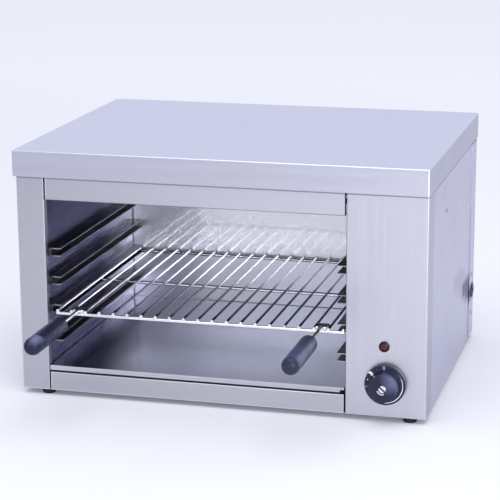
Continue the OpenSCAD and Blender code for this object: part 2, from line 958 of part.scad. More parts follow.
// Wires from the terminal block to the regulator, and from both to the heating rods
module internal_wires() {
    spade_y = regulator_y + regulator_l + 8 + seam;
    spade_z = knob_mid_z + 4.4;
    block_top = block_low.z + block_size.z + seam;
    block_mid_y = block_low.y + block_size.y / 2;
    post_x = [for (i = [0 : 2]) block_low.x + 6 + i * 10];
    pin_x = element_end_x + 12 + seam;
    color("#7d3b34") {
        wire([
            [post_x[1], block_mid_y, block_top],
            [post_x[1], block_mid_y, spade_z],
            [post_x[1], spade_y, spade_z]
        ]);
        wire([
            [knob_x - 10, spade_y, spade_z],
            [knob_x - 10, spade_y + 12, spade_z],
            [knob_x - 10, spade_y + 12, element_z],
            [pin_x, spade_y + 12, element_z]
        ]);
        wire([
            [post_x[2], block_mid_y, block_top],
            [post_x[2], block_mid_y, element_z],
            [pin_x, block_mid_y, element_z]
        ]);
    }
    // Links between the terminals of the heating rods
    color("#8b8e9e") difference() {
        block([pin_x - 8, leg_y(0) - 6, element_z - 5], [pin_x - 7, leg_y(5) + 6, element_z + 5]);
        for (i = [0 : 5]) {
            rod_x(pin_x - 9, pin_x - 6, leg_y(i), element_z, element_d / 2 + 0.2);
        }
    }
}

// ---------------------------------------------------------------- feet and fasteners

module foot(x, y) {
    stud_depth = foot_h * 0.6;
    color(black_plastic) difference() {
        rod_z(0, foot_h - seam, x, y, foot_d);
        rod_z(foot_h - stud_depth - 0.2, foot_h + 1, x, y, stud_d + 2 * running_gap);
    }
}

module front_left_foot() { foot(foot_x[0], foot_y[0]); }
module front_right_foot() { foot(foot_x[1], foot_y[0]); }
module rear_left_foot() { foot(foot_x[0], foot_y[1]); }
module rear_right_foot() { foot(foot_x[1], foot_y[1]); }

module foot_studs() {
    color(bright_steel) for (x = foot_x) {
        for (y = foot_y) {
            rod_z(foot_h * 0.4, floor_z + 6, x, y, stud_d);
        }
    }
}

module foot_nuts() {
    color(bright_steel) for (x = foot_x) {
        for (y = foot_y) {
            difference() {
                translate([x, y, floor_z + seam]) cylinder(h = 4, d = stud_d * 1.8, $fn = 6);
                rod_z(floor_z, floor_z + 6, x, y, stud_d + 2 * running_gap);
            }
        }
    }
}

// A hole through the side of the casing
module rivet_hole(side, y, z) {
    rod_x(side * side_x - 4, side * side_x + 4, y, z, rivet_d + 0.2);
}

// A domed rivet whose head lies on the given face, on the right side if side is 1
module rivet(side, face_x, y, z) {
    translate([face_x, y, z]) rotate([0, 90 * side, 0]) {
        translate([0, 0, -rivet_shank_l]) cylinder(h = rivet_shank_l + 2 * seam, d = rivet_d);
        intersection() {
            translate([0, 0, rivet_head_h - rivet_dome_r]) sphere(rivet_dome_r);
            translate([0, 0, seam]) cylinder(h = rivet_head_h, d = rivet_head_d);
        }
    }
}

module side_rivets() {
    color(bright_steel) {
        for (side = [-1, 1]) {
            for (z = rivet_z) rivet(side, side * side_x, rivet_y, z);
        }
        rivet(1, panel_x, stay_y, stay_z);
    }
}

// A channel that ties the cavity's right wall to the side panel
module panel_stay() {
    x0 = open_right_x + liner + seam;
    x1 = panel_x - sheet - seam;
    color(dark_steel) difference() {
        block(
            [x0, stay_y - stay_w / 2, stay_z - stay_half_h],
            [x1, stay_y + stay_w / 2, stay_z + stay_half_h]
        );
        block(
            [x0 + stay_sheet, stay_y - stay_w / 2 - 1, stay_z - stay_half_h + stay_sheet],
            [x1 - stay_sheet, stay_y + stay_w / 2 + 1, stay_z + stay_half_h + 1]
        );
        rod_x(x1 - 2 * stay_sheet, x1 + 1, stay_y, stay_z, rivet_d + 0.2);
    }
}

top_cover();
left_front_post();
control_panel();
header_panel();
sill_panel();
left_side_panel();
right_side_panel();
rear_panel();
base_plate();
left_cavity_wall();
right_cavity_wall();
back_cavity_wall();
cavity_ceiling();
left_insulation();
rear_insulation();
ceiling_insulation();
left_runner_1();
left_runner_2();
left_runner_3();
left_runner_4();
right_runner_1();
right_runner_2();
right_runner_3();
right_runner_4();
left_tray_rail();
right_tray_rail();
crumb_tray();
rack_grid();
left_handle_rod();
right_handle_rod();
left_handle_grip();
right_handle_grip();
front_heating_element();
middle_heating_element();
rear_heating_element();
element_hangers();
element_fittings();
knob();
knob_cap();
regulator_shaft();
regulator_body();
regulator_nut();
pilot_lens();
pilot_holder();
terminal_block();
mains_gland();
gland_locknut();
internal_wires();
front_left_foot();
front_right_foot();
rear_left_foot();
rear_right_foot();
foot_studs();
foot_nuts();
side_rivets();
panel_stay();
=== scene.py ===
"""Finishes and fine pieces of a counter-top cheese melter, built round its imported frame.

All lengths are metres in the frame's own axes: X to the right, Y to the back and Z up from the
counter. Every new piece has its object at the origin and its place in its mesh.
"""

import math

import bmesh
import bpy
import numpy as np
from bpy.props import (
    FloatProperty,
    FloatVectorProperty,
    IntProperty,
    PointerProperty,
)
from mathutils import Matrix, Vector


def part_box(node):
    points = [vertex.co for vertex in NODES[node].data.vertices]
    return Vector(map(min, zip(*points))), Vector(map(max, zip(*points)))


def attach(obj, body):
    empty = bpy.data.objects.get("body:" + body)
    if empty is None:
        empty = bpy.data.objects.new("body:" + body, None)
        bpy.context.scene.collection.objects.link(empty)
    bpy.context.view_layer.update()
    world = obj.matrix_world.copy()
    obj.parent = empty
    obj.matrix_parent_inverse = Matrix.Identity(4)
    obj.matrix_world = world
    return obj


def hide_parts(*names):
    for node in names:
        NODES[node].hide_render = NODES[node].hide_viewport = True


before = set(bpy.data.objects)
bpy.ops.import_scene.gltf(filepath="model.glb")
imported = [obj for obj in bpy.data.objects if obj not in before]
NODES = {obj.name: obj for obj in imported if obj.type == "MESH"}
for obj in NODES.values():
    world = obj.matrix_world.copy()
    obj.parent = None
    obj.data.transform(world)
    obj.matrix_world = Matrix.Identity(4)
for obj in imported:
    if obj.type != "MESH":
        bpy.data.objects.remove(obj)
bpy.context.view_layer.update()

bl_info = {
    "name": "Cheese melter",
    "version": (1, 0, 0),
    "blender": (4, 5, 0),
    "location": "View3D > Sidebar > Melter",
    "description": "Dresses the frame of a counter-top cheese melter and builds its fine pieces",
    "category": "Object",
}

MM = 0.001
SHARP = math.radians(32)
SIDES = ("left", "right")
FORWARD = (0, -1, 0)
BACKWARD = (0, 1, 0)
UPWARD = (0, 0, 1)


# ---------------------------------------------------------------- settings


def length(name, description, default):
    """A length in metres that shows in the scene's own unit."""
    return FloatProperty(
        name=name, description=description, default=default, unit="LENGTH", precision=5
    )


def angle(name, description, degrees):
    """An angle, given in degrees and kept in radians."""
    return FloatProperty(
        name=name, description=description, default=math.radians(degrees), subtype="ANGLE"
    )


def number(name, description, default, least=0.0, unit="NONE"):
    """A number that doesn't fall below the least."""
    return FloatProperty(
        name=name, description=description, default=default, min=least, unit=unit
    )


def colour(name, description, default):
    """A plain colour of three linear channels."""
    return FloatVectorProperty(
        name=name, description=description, default=default, subtype="COLOR", size=3,
        min=0.0, max=1.0,
    )


class MelterFinish(bpy.types.PropertyGroup):
    """Colours and grain of the finishes."""

    lid: colour("Lid", "Brushed sheet of the lid", (0.66, 0.69, 0.86))
    # Painted shade: the lid's turned-down edge is a darker copy of the lid's colour, darker still
    # on the lid's right side.
    skirt: colour("Skirt", "Brushed sheet of the lid's turned-down edge", (0.555, 0.555, 0.64))
    skirt_end: colour("Skirt ends", "Turned-down edge on the lid's sides", (0.42, 0.42, 0.55))
    front: colour("Front", "Brushed sheet of the front panels", (0.58, 0.575, 0.645))
    # Painted shade on the left upright's inner edge.
    lip: colour("Lip", "Inner edge of the left upright, dulled by heat", (0.14, 0.14, 0.19))
    # Painted shade as a dark band under the lid's front, and along the end of the control panel's
    # return.
    front_gap: colour("Front gap", "Grime along the seams of the front", (0.27, 0.27, 0.35))
    # Painted shade under the lid's sides and rear, in the slit and inside the header, in the
    # cavity's rear corner and on the header's tab.
    shadow: colour("Shadow", "Grime under the lid's sides and inside seams", (0.10, 0.10, 0.14))
    side: colour("Side", "Brushed sheet of the side and rear panels", (0.51, 0.51, 0.64))
    # Painted dark reflection of the gland on the side panel.
    smear: colour("Smear", "Dark smear on the side beside the mains gland", (0.02, 0.02, 0.13))
    # Painted highlight along the folds, on the lid's right front corner and on the runners' cut
    # ends.
    fold: colour("Folds", "Sheet polished bright along its folds", (0.93, 0.93, 0.98))
    # Baked-on coating near the heat, which also stands in as painted shade towards the ceiling.
    film: colour("Film", "Film that is baked on near the heat", (0.03, 0.028, 0.045))
    # Painted light and shade: the cavity's walls, all of one steel, get a lit copy at the back and
    # on the right, a shaded copy on the left, and a paler one towards the left wall's rear.
    back_wall: colour("Back wall", "Bright sheet behind the rack", (0.95, 0.95, 1.0))
    side_wall: colour("Side walls", "Darker sheet beside the rack", (0.080, 0.080, 0.125))
    lit_wall_rear: colour("Left wall's rear", "Cleaner sheet at its rear", (0.62, 0.62, 0.72))
    right_wall: colour("Right wall", "Cleaner sheet right of the rack", (0.80, 0.80, 0.90))
    # Painted light and shade: the tray is lit in its middle and to the right, darker to the left
    # and on its front lip.
    tray: colour("Tray", "Sheet of the crumb tray", (0.81, 0.84, 1.0))
    tray_lip: colour("Tray lip", "Front lip of the crumb tray", (0.60, 0.585, 0.66))
    chrome: colour("Chrome", "Plating of the rack and the rods", (0.92, 0.92, 0.95))
    # Painted dark reflection on the wires' front half and on each rod's left half, and painted
    # shade behind the front bar.
    heated: colour("Heated chrome", "Plating darkened by heat", (0.10, 0.10, 0.18))
    grip: colour("Grips", "Black plastic of the grips", (0.015, 0.018, 0.046))
    # Painted sheen: the right grip is a lighter copy of the grip plastic.
    grip_sheen: colour("Grip sheen", "Right grip, greyed by use", (0.042, 0.050, 0.112))
    # Painted highlight on the left grip's nose.
    shine: colour("Grip shine", "Worn plastic on the left grip's nose", (0.19, 0.21, 0.33))
    knob: colour("Knob", "Black plastic of the knob", (0.011, 0.013, 0.034))
    # Painted sheen on the knob's upper right.
    knob_sheen: colour("Knob sheen", "Worn upper right of the knob", (0.10, 0.11, 0.21))
    marks: colour("Marks", "Paint of the knob's numerals", (0.85, 0.85, 0.90))
    # Greyer paint for the nought and the first dot; painted shade on the paint's lower left.
    darker_marks: colour("Darker marks", "Paint that is worn thin", (0.24, 0.26, 0.38))
    cap: colour("Cap", "Metal of the knob's slotted cap", (0.8, 0.8, 0.84))
    lens: colour("Lens", "Red plastic of the pilot light", (0.052, 0.008, 0.016))
    rubber: colour("Rubber", "Black rubber of the feet", (0.012, 0.012, 0.018))
    oxide: colour("Oxide", "Oxidised sheath of the heating rods", (0.16, 0.12, 0.11))
    wool: colour("Wool", "Mineral wool round the cavity", (0.72, 0.68, 0.50))
    brass: colour("Brass", "Brass fittings and nuts", (0.62, 0.44, 0.18))
    shaft: colour("Shaft", "Steel of the regulator's shaft", (0.60, 0.60, 0.62))
    regulator: colour("Regulator", "Brown plastic of the regulator", (0.10, 0.07, 0.05))
    ceramic: colour("Ceramic", "Glazed terminal block", (0.72, 0.69, 0.60))
    holder: colour("Holder", "Pale plastic behind the pilot light", (0.75, 0.73, 0.68))
    sleeve: colour("Sleeve", "Sleeves of the inner wires", (0.22, 0.05, 0.04))
    grain_depth: length("Grain depth", "Depth of the brushed grain", 0.03 * MM)
    # Width of the painted highlight, and of the glossier sheet, along a fold.
    polish_and_highlight_width: length("Polish and highlight width", "Width of the bright line along a fold", 2.2 * MM)


class MelterRack(bpy.types.PropertyGroup):
    """Sizes of the welded rack and its handles."""

    wires: IntProperty(name="Wires", description="Number of long wires", default=21, min=2)
    wire_d: length("Wire", "Diameter of the long wires", 3.6 * MM)
    bar_d: length("Bar", "Diameter of the cross bars", 5.0 * MM)
    wire_inset: length("Wire inset", "Distance from the bars' ends to the outer wires", 2.3 * MM)
    wire_start: length("Wire start", "Distance from the rack's front to the wires' ends", 2 * MM)
    wobble: length("Wobble", "How far a wire strays from a straight line", 0.06 * MM)
    bead_r: length("Weld bead", "Radius of the weld beads", 2.3 * MM)
    rod_d: length("Rod", "Diameter of the handle rods", 5.6 * MM)
    brace_back: length("Brace", "Distance from a cross piece back to its brace", 17 * MM)
    nose: length("Grip nose", "Length of the round nose of a grip", 11.0 * MM)
    shoulder: length("Grip shoulder", "Length of the round shoulder of a grip", 5.5 * MM)
    taper: length("Grip taper", "How much narrower a grip's radius is at its rear", 0.25 * MM)


class MelterKnob(bpy.types.PropertyGroup):
    """Sizes of the knob and its numerals."""

    skirt_h: length("Skirt", "Thickness of the knob's skirt", 9.0 * MM)
    body_d: length("Body", "Diameter of the knob's raised body", 42.0 * MM)
    recess_d: length("Recess", "Diameter of the shallow dish round the cap", 16.6 * MM)
    recess_deep: length("Recess depth", "Depth of the shallow dish", 1.0 * MM)
    cap_d: length("Cap", "Diameter of the slotted cap", 10.4 * MM)
    slot_w: length("Cap slot", "Width of the slot in the cap", 2.2 * MM)
    slot_turn: angle("Slot turn", "Turn of the slot from level", 40.0)
    arc_r: length("Arc radius", "Radius of the painted arc on the skirt", 25.4 * MM)
    arc_w: length("Arc width", "Greatest width of the painted arc", 1.05 * MM)
    paint_h: length("Paint", "Thickness of the paint above the skirt", 0.08 * MM)
    numerals: IntProperty(
        name="Numerals", description="Number of numerals, with nought", default=4, min=1, max=7
    )
    first: angle("First numeral", "Angle of the nought from the top, to the left", 3.0)
    pitch: angle("Pitch", "Angle from one numeral to the next", 47.0)
    numeral_r: length("Numeral radius", "Distance from the axis to a numeral", 25.0 * MM)
    numeral_h: length("Numeral height", "Height of a numeral", 4.8 * MM)
    numeral_w: length("Stroke", "How far a numeral's outline is widened", 0.45 * MM)
    full_h: length("Full heat", "Height of the numeral for full heat", 5.76 * MM)
    full_w: length("Full heat's stroke", "How far its outline is widened", 0.6 * MM)
    dot_r: length("Dot", "Radius of the dots between the numerals", 0.9 * MM)


class MelterStage(bpy.types.PropertyGroup):
    """Camera, lamps and floor."""

    camera_at: FloatVectorProperty(
        name="Camera", description="Place of the camera", default=(0.6866, -2.52545, 0.8575),
        subtype="XYZ", unit="LENGTH",
    )
    azimuth: angle("Azimuth", "Turn of the view from straight ahead, to the left", 14.96)
    elevation: angle("Elevation", "How far the view looks down", 14.08)
    roll: angle("Roll", "Tilt of the view", -0.29)
    lens_mm: number("Lens", "Focal length in millimetres", 132.02, least=10.0)
    floor: colour("Floor", "Pale paper that the melter stands on", (0.84, 0.85, 0.90))
    sky: colour("Surroundings", "Pale surroundings that the metal shows", (0.84, 0.85, 0.92))
    near_glow: number("Near glow", "How much brighter the near floor shows", 0.04)
    far_glow: number("Far glow", "How much brighter the far floor shows", 0.24)
    ambient: number("Ambient", "Strength of the even light", 0.86)
    key: number("Key", "Power of the large lamp above", 26.0, unit="POWER")
    fill: number("Fill", "Power of the lamp at the front", 36.0, unit="POWER")


class MelterSettings(bpy.types.PropertyGroup):
    """Everything that a user may change."""

    finish: PointerProperty(type=MelterFinish)
    rack: PointerProperty(type=MelterRack)
    knob: PointerProperty(type=MelterKnob)
    stage: PointerProperty(type=MelterStage)


# ---------------------------------------------------------------- surfaces


def rounded(corners, cuts, steps=6):
    """An outline whose corners are rounded.

    Each corner P gives way to the curve (1-u)^2 A + 2u(1-u) P + u^2 B for u from 0 to 1, where A
    and B lie on the two sides at the corner's cut from P. A cut of zero keeps the corner.
    """
    points = np.asarray(corners, float)
    outline = [points[:1]]
    u = np.linspace(0.0, 1.0, steps)[:, None]
    for before, corner, after, cut in zip(points[:-2], points[1:-1], points[2:], cuts):
        if cut == 0:
            outline.append(corner[None])
            continue
        a = corner + (before - corner) / np.linalg.norm(before - corner) * cut
        b = corner + (after - corner) / np.linalg.norm(after - corner) * cut
        outline.append((1 - u) ** 2 * a + 2 * u * (1 - u) * corner + u ** 2 * b)
    outline.append(points[-1:])
    return np.concatenate(outline)


def unit_circle(axis, sides):
    """The points cos t e + sin t f, with e and f at right angles to the axis and t once round."""
    axis = np.asarray(axis, float)
    helper = np.array([0.0, 0.0, 1.0]) if abs(axis[2]) < 0.9 else np.array([1.0, 0.0, 0.0])
    across = np.cross(helper, axis)
    across /= np.linalg.norm(across)
    t = np.arange(sides) / sides * 2 * math.pi
    return np.cos(t)[:, None] * across + np.sin(t)[:, None] * np.cross(axis, across)


def grid_faces(rows, columns):
    """Quads of a grid that closes round its columns, as indices of its points."""
    row, column = np.meshgrid(np.arange(rows - 1), np.arange(columns), indexing="ij")
    this, below = row * columns, (row + 1) * columns
    beside = (column + 1) % columns
    quads = [this + column, this + beside, below + beside, below + column]
    return np.stack(quads, axis=-1).reshape(-1, 4)


def turned(outline, origin, axis, sides=64):
    """A turned solid: the point (r, h) of the outline goes to origin + h axis + r (cos t, sin t).

    The angle t runs once round the axis, and an outline that starts and ends at r = 0 closes.
    """
    outline = np.asarray(outline, float)
    centres = np.asarray(origin, float) + outline[:, None, 1:2] * np.asarray(axis, float)
    points = centres + outline[:, None, 0:1] * unit_circle(axis, sides)[None]
    return points.reshape(-1, 3), grid_faces(len(outline), sides)


def domed_rod(start, end, radius, sides=20, dome=0.5, rows=9, stray=None):
    """A straight rod with domed ends.

    The rod's centre line is start + s (end - start), plus stray(s) where one is given. Over the
    dome's length, a share of the radius, the radius falls as sqrt(1 - v^2) with v from 0 to 1.
    """
    start, end = np.asarray(start, float), np.asarray(end, float)
    reach = np.linalg.norm(end - start)
    axis = (end - start) / reach
    v = np.linspace(1.0, 0.0, 6)
    dome_l = dome * radius
    shaft = np.linspace(dome_l, reach - dome_l, rows)[1:-1]
    along = np.concatenate([dome_l * (1 - v), shaft, reach - dome_l * (1 - v[::-1])])
    fall = np.sqrt(1 - v ** 2)
    width = np.concatenate([fall, np.ones(rows - 2), fall[::-1]]) * radius
    line = start + along[:, None] * axis
    if stray is not None:
        line = line + stray(along / reach)
    points = line[:, None] + width[:, None, None] * unit_circle(axis, sides)[None]
    return points.reshape(-1, 3), grid_faces(len(along), sides)


def bead(centre, radii, sides=12, rows=8):
    """An ellipsoid: centre + radii (sin p cos t, sin p sin t, cos p), with p from 0 to pi."""
    p = np.linspace(0.0, math.pi, rows)[:, None]
    t = np.arange(sides)[None] / sides * 2 * math.pi
    unit = np.stack([np.sin(p) * np.cos(t), np.sin(p) * np.sin(t), np.cos(p) + 0 * t], axis=-1)
    return (np.asarray(centre) + unit * np.asarray(radii)).reshape(-1, 3), grid_faces(rows, sides)


def plate(low, high):
    """A flat plate between two opposite corners, as four corners at each end of its height."""
    (x0, y0, z0), (x1, y1, z1) = low, high
    ring = np.array([(x0, y0), (x1, y0), (x1, y1), (x0, y1)])
    points = np.array([(x, y, z) for z in (z0, z1) for x, y in ring])
    return points, np.concatenate([grid_faces(2, 4), [[3, 2, 1, 0], [4, 5, 6, 7]]])


def painted_arc(centre, radius, width, height):
    """A strip of paint from half past one to half past six, widest in the middle: a scale arc that
    also stands in for the highlight on the skirt's edge.

    At the angle t, clockwise from the top, the strip lies at radius +- w / 2, with w the width
    times sqrt(sin(pi s)) and s the share of the way along. Each cross section is a flat rectangle.
    """
    s = np.linspace(0.0, 1.0, 97)
    t = math.radians(45) + s * math.radians(150)
    half = width / 2 * np.sqrt(np.maximum(np.sin(math.pi * s), 0.02))
    out = np.stack([np.sin(t), 0 * t, np.cos(t)], axis=-1)
    front = np.array([0.0, -height, 0.0])
    inner, outer = out * (radius - half)[:, None], out * (radius + half)[:, None]
    ring = np.stack([inner - front, outer - front, outer + front, inner + front], axis=1)
    ends = np.array([[3, 2, 1, 0], np.array([0, 1, 2, 3]) + 4 * (len(s) - 1)])
    return (centre + ring).reshape(-1, 3), np.concatenate([grid_faces(len(s), 4), ends])


def joined(parts):
    """One list of points and one of faces from several."""
    points, faces, start = [], [], 0
    for part_points, part_faces in parts:
        points.append(part_points)
        faces.append(part_faces + start)
        start += len(part_points)
    return np.concatenate(points), np.concatenate(faces)


def tidy_normals(work):
    """Merge doubled points, such as those at a pole, and turn every face outwards."""
    bmesh.ops.remove_doubles(work, verts=work.verts, dist=1e-7)
    bmesh.ops.recalc_face_normals(work, faces=work.faces)


def clean_mesh(name, points, faces):
    """A smooth mesh with clean poles and outward faces, and with edges past SHARP kept sharp."""
    mesh = bpy.data.meshes.new(name)
    mesh.from_pydata(points.tolist(), [], faces.tolist())
    work = bmesh.new()
    work.from_mesh(mesh)
    tidy_normals(work)
    work.to_mesh(mesh)
    work.free()
    mesh.shade_smooth()
    mesh.set_sharp_from_angle(angle=SHARP)
    return mesh


def merged_mesh(name, meshes):
    """One mesh from several, which are removed."""
    work = bmesh.new()
    for mesh in meshes:
        work.from_mesh(mesh)
        bpy.data.meshes.remove(mesh)
    tidy_normals(work)
    whole = bpy.data.meshes.new(name)
    work.to_mesh(whole)
    work.free()
    whole.materials.clear()
    return whole


def evaluated_mesh(source):
    """The mesh that an object shows, with its modifiers or its outline carried out."""
    bpy.context.view_layer.update()
    shown = source.evaluated_get(bpy.context.evaluated_depsgraph_get())
    return bpy.data.meshes.new_from_object(shown)


def link_object(name, data):
    """A new object at the origin, in the scene."""
    new = bpy.data.objects.new(name, data)
    bpy.context.scene.collection.objects.link(new)
    return new


def add_piece(mesh, material, body, replaces=()):
    """Put a mesh in the scene as a piece that rides on a body and stands for the given nodes."""
    mesh.materials.append(material)
    piece = link_object(mesh.name, mesh)
    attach(piece, body)
    if replaces:
        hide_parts(*replaces)
    return piece


# ---------------------------------------------------------------- node groups


def fill(tree, socket, value):
    """Give a socket a plain value, or link it to another."""
    if isinstance(value, bpy.types.NodeSocket):
        tree.links.new(value, socket)
    else:
        socket.default_value = value


def put(tree, kind, inputs=None, **settings):
    """Add a node, set it up, and fill its inputs with plain values or with links."""
    node = tree.nodes.new(kind)
    node.location = (220.0 * (len(tree.nodes) % 8), -260.0 * (len(tree.nodes) // 8))
    for name, value in settings.items():
        setattr(node, name, value)
    for key, value in (inputs or {}).items():
        fill(tree, node.inputs[key], value)
    return node


def calc(tree, operation, *values, clamp=False):
    """The output of a Math node."""
    inputs = dict(enumerate(values))
    return put(tree, "ShaderNodeMath", inputs, operation=operation, use_clamp=clamp).outputs[0]


def vector_calc(tree, operation, *values):
    """The output of a Vector Math node."""
    inputs = dict(enumerate(values))
    return put(tree, "ShaderNodeVectorMath", inputs, operation=operation).outputs[0]


def split(tree, vector):
    """The three parts of a vector."""
    return put(tree, "ShaderNodeSeparateXYZ", {0: vector}).outputs


def noise(tree, place, scale, detail, **inputs):
    """The value of a noise texture."""
    inputs.update(Vector=place, Scale=scale, Detail=detail)
    return put(tree, "ShaderNodeTexNoise", inputs).outputs[0]


def span(tree, value, low, high, to_low=0.0, to_high=1.0):
    """A value taken from one range to another, held inside the second."""
    ends = {"From Min": low, "From Max": high, "To Min": to_low, "To Max": to_high}
    return put(tree, "ShaderNodeMapRange", {"Value": value, **ends}).outputs["Result"]


def opaque(value):
    """A plain colour with an alpha of one, or a socket as it is."""
    return value if isinstance(value, bpy.types.NodeSocket) else (*value[:3], 1.0)


def blend_colour(tree, factor, first, second):
    """The first colour, going over to the second as the factor goes from zero to one."""
    node = put(tree, "ShaderNodeMix", data_type="RGBA")
    first_socket, second_socket = [socket for socket in node.inputs if socket.type == "RGBA"]
    fill(tree, node.inputs[0], factor)
    fill(tree, first_socket, opaque(first))
    fill(tree, second_socket, opaque(second))
    return next(socket for socket in node.outputs if socket.type == "RGBA")


VECTOR_INPUT = ("Vector", "NodeSocketVector", (0.0, 0.0, 0.0))
BOX_INPUTS = [
    VECTOR_INPUT,
    ("Low", "NodeSocketVector", (0.0, 0.0, 0.0)),
    ("High", "NodeSocketVector", (1.0, 1.0, 1.0)),
    ("Width", "NodeSocketFloat", 0.001),
]


def start_group(name, inputs, outputs):
    """An empty node group with the given sockets, its inputs' sockets and its output node."""
    tree = bpy.data.node_groups.new(name, "ShaderNodeTree")
    for label, kind, default in inputs:
        socket = tree.interface.new_socket(name=label, in_out="INPUT", socket_type=kind)
        socket.default_value = default
    for label in outputs:
        tree.interface.new_socket(name=label, in_out="OUTPUT", socket_type="NodeSocketFloat")
    return tree, put(tree, "NodeGroupInput").outputs, put(tree, "NodeGroupOutput").inputs


def brushed_grain(name):
    """Fine parallel lines with slow changes of tone along them."""
    inputs = [VECTOR_INPUT, ("Lines", "NodeSocketVector", (30.0, 30.0, 1500.0))]
    tree, given, result = start_group(name, inputs, ["Lines", "Tone"])
    spread = vector_calc(tree, "MULTIPLY", given[0], given[1])
    fine = noise(tree, spread, 1.0, 3.0)
    wide = vector_calc(tree, "MULTIPLY", spread, (0.12, 0.12, 0.12))
    slow = noise(tree, wide, 1.0, 4.0)
    fill(tree, result[0], fine)
    fill(tree, result[1], calc(tree, "MULTIPLY_ADD", fine, 0.5, calc(tree, "MULTIPLY", slow, 0.5)))
    return tree


def hand_marks(name):
    """Broad cloudy smudges left by wiping, from zero to one."""
    inputs = [VECTOR_INPUT, ("Scale", "NodeSocketFloat", 9.0)]
    tree, given, result = start_group(name, inputs, ["Smudge"])
    clouds = noise(tree, given[0], given[1], 5.0, Roughness=0.55, Distortion=0.6)
    fill(tree, result[0], span(tree, clouds, 0.34, 0.68))
    return tree


def side_distances(tree, given):
    """How far inside a box's nearest side a place lies on each axis."""
    above = vector_calc(tree, "SUBTRACT", given[0], given[1])
    below = vector_calc(tree, "SUBTRACT", given[2], given[0])
    return split(tree, vector_calc(tree, "MINIMUM", above, below))


def fold_polish_and_highlight(name):
    """One along the edges of a box, where the sheet is folded, and zero away from them: the mask of
    the painted highlight, and of the glossier sheet, along a fold.

    The distance to the nearest side is taken on each axis, and the middle one of the three
    distances is small only along an edge.
    """
    tree, given, result = start_group(name, BOX_INPUTS, ["Mask"])
    x, y, z = side_distances(tree, given)
    small, large = calc(tree, "MINIMUM", x, y), calc(tree, "MAXIMUM", x, y)
    middle = calc(tree, "MAXIMUM", small, calc(tree, "MINIMUM", large, z))
    ratio = calc(tree, "DIVIDE", middle, given[3])
    fill(tree, result[0], calc(tree, "SUBTRACT", 1.0, ratio, clamp=True))
    return tree


def box_zone(name):
    """One inside a box and zero outside it, with soft sides."""
    tree, given, result = start_group(name, BOX_INPUTS, ["Mask"])
    x, y, z = side_distances(tree, given)
    least = calc(tree, "MINIMUM", calc(tree, "MINIMUM", x, y), z)
    fill(tree, result[0], calc(tree, "DIVIDE", least, given[3], clamp=True))
    return tree


def moulded_skin(name):
    """Fine pitted skin of moulded plastic, with slow changes of gloss."""
    inputs = [VECTOR_INPUT, ("Scale", "NodeSocketFloat", 1400.0)]
    tree, given, result = start_group(name, inputs, ["Pits", "Gloss"])
    fill(tree, result[0], noise(tree, given[0], given[1], 2.0))
    fill(tree, result[1], span(tree, noise(tree, given[0], 60.0, 4.0), 0.3, 0.7))
    return tree


def baked_film_and_shade(name):
    """Patches of baked-on coating and painted shade that gather towards a height, from zero to one.
    """
    inputs = [VECTOR_INPUT, ("From", "NodeSocketFloat", 0.2), ("To", "NodeSocketFloat", 0.3)]
    tree, given, result = start_group(name, inputs, ["Film"])
    rise = span(tree, split(tree, given[0])[2], given[1], given[2])
    patches = span(tree, noise(tree, given[0], 14.0, 6.0), 0.3, 0.7, 0.4, 1.0)
    fill(tree, result[0], calc(tree, "MULTIPLY", rise, patches, clamp=True))
    return tree


def group(tree, maker, **inputs):
    """A node that holds the effect, which is built the first time that it is used."""
    name = maker.__name__.replace("_", " ").capitalize()
    held = bpy.data.node_groups.get(name) or maker(name)
    sockets = {key.capitalize(): value for key, value in inputs.items()}
    return put(tree, "ShaderNodeGroup", sockets, node_tree=held)


# ---------------------------------------------------------------- materials


FAR = 1.0
GRAIN_ALONG_X = (22.0, 1300.0, 1300.0)
GRAIN_ALONG_Y = (1300.0, 22.0, 1300.0)
GRAIN_ALONG_Z = (1300.0, 1300.0, 22.0)


def start_material(name, **uniform):
    """A material with a principled shader, its uniform values, and the object's coordinates."""
    material = bpy.data.materials.new(name)
    material.use_nodes = True
    tree = material.node_tree
    shader = tree.nodes["Principled BSDF"]
    for socket, value in uniform.items():
        shader.inputs[socket.replace("_", " ")].default_value = value
    place = put(tree, "ShaderNodeTexCoord").outputs["Object"]
    return material, tree, shader.inputs, place


def add_bump(tree, shader, height, distance):
    """Let a height act on the shader's normal."""
    bump = put(tree, "ShaderNodeBump", {"Height": height, "Distance": distance, "Strength": 1.0})
    fill(tree, shader["Normal"], bump.outputs[0])


def darker(rgb, by):
    """A colour scaled towards black."""
    return tuple(channel * by for channel in rgb)


def zone(rgb, soft, left=-FAR, front=-FAR, bottom=-FAR, right=FAR, rear=FAR, top=FAR):
    """A box, whose colour comes in over a soft width inside its sides. Other sides lie far off."""
    return (left, front, bottom), (right, rear, top), tuple(rgb), soft


def zoned(tree, place, base, zones):
    """The base colour with each zone's colour laid over it in turn."""
    for low, high, rgb, soft in zones:
        inside = group(tree, box_zone, vector=place, low=low, high=high, width=soft).outputs[0]
        base = blend_colour(tree, inside, base, rgb)
    return base


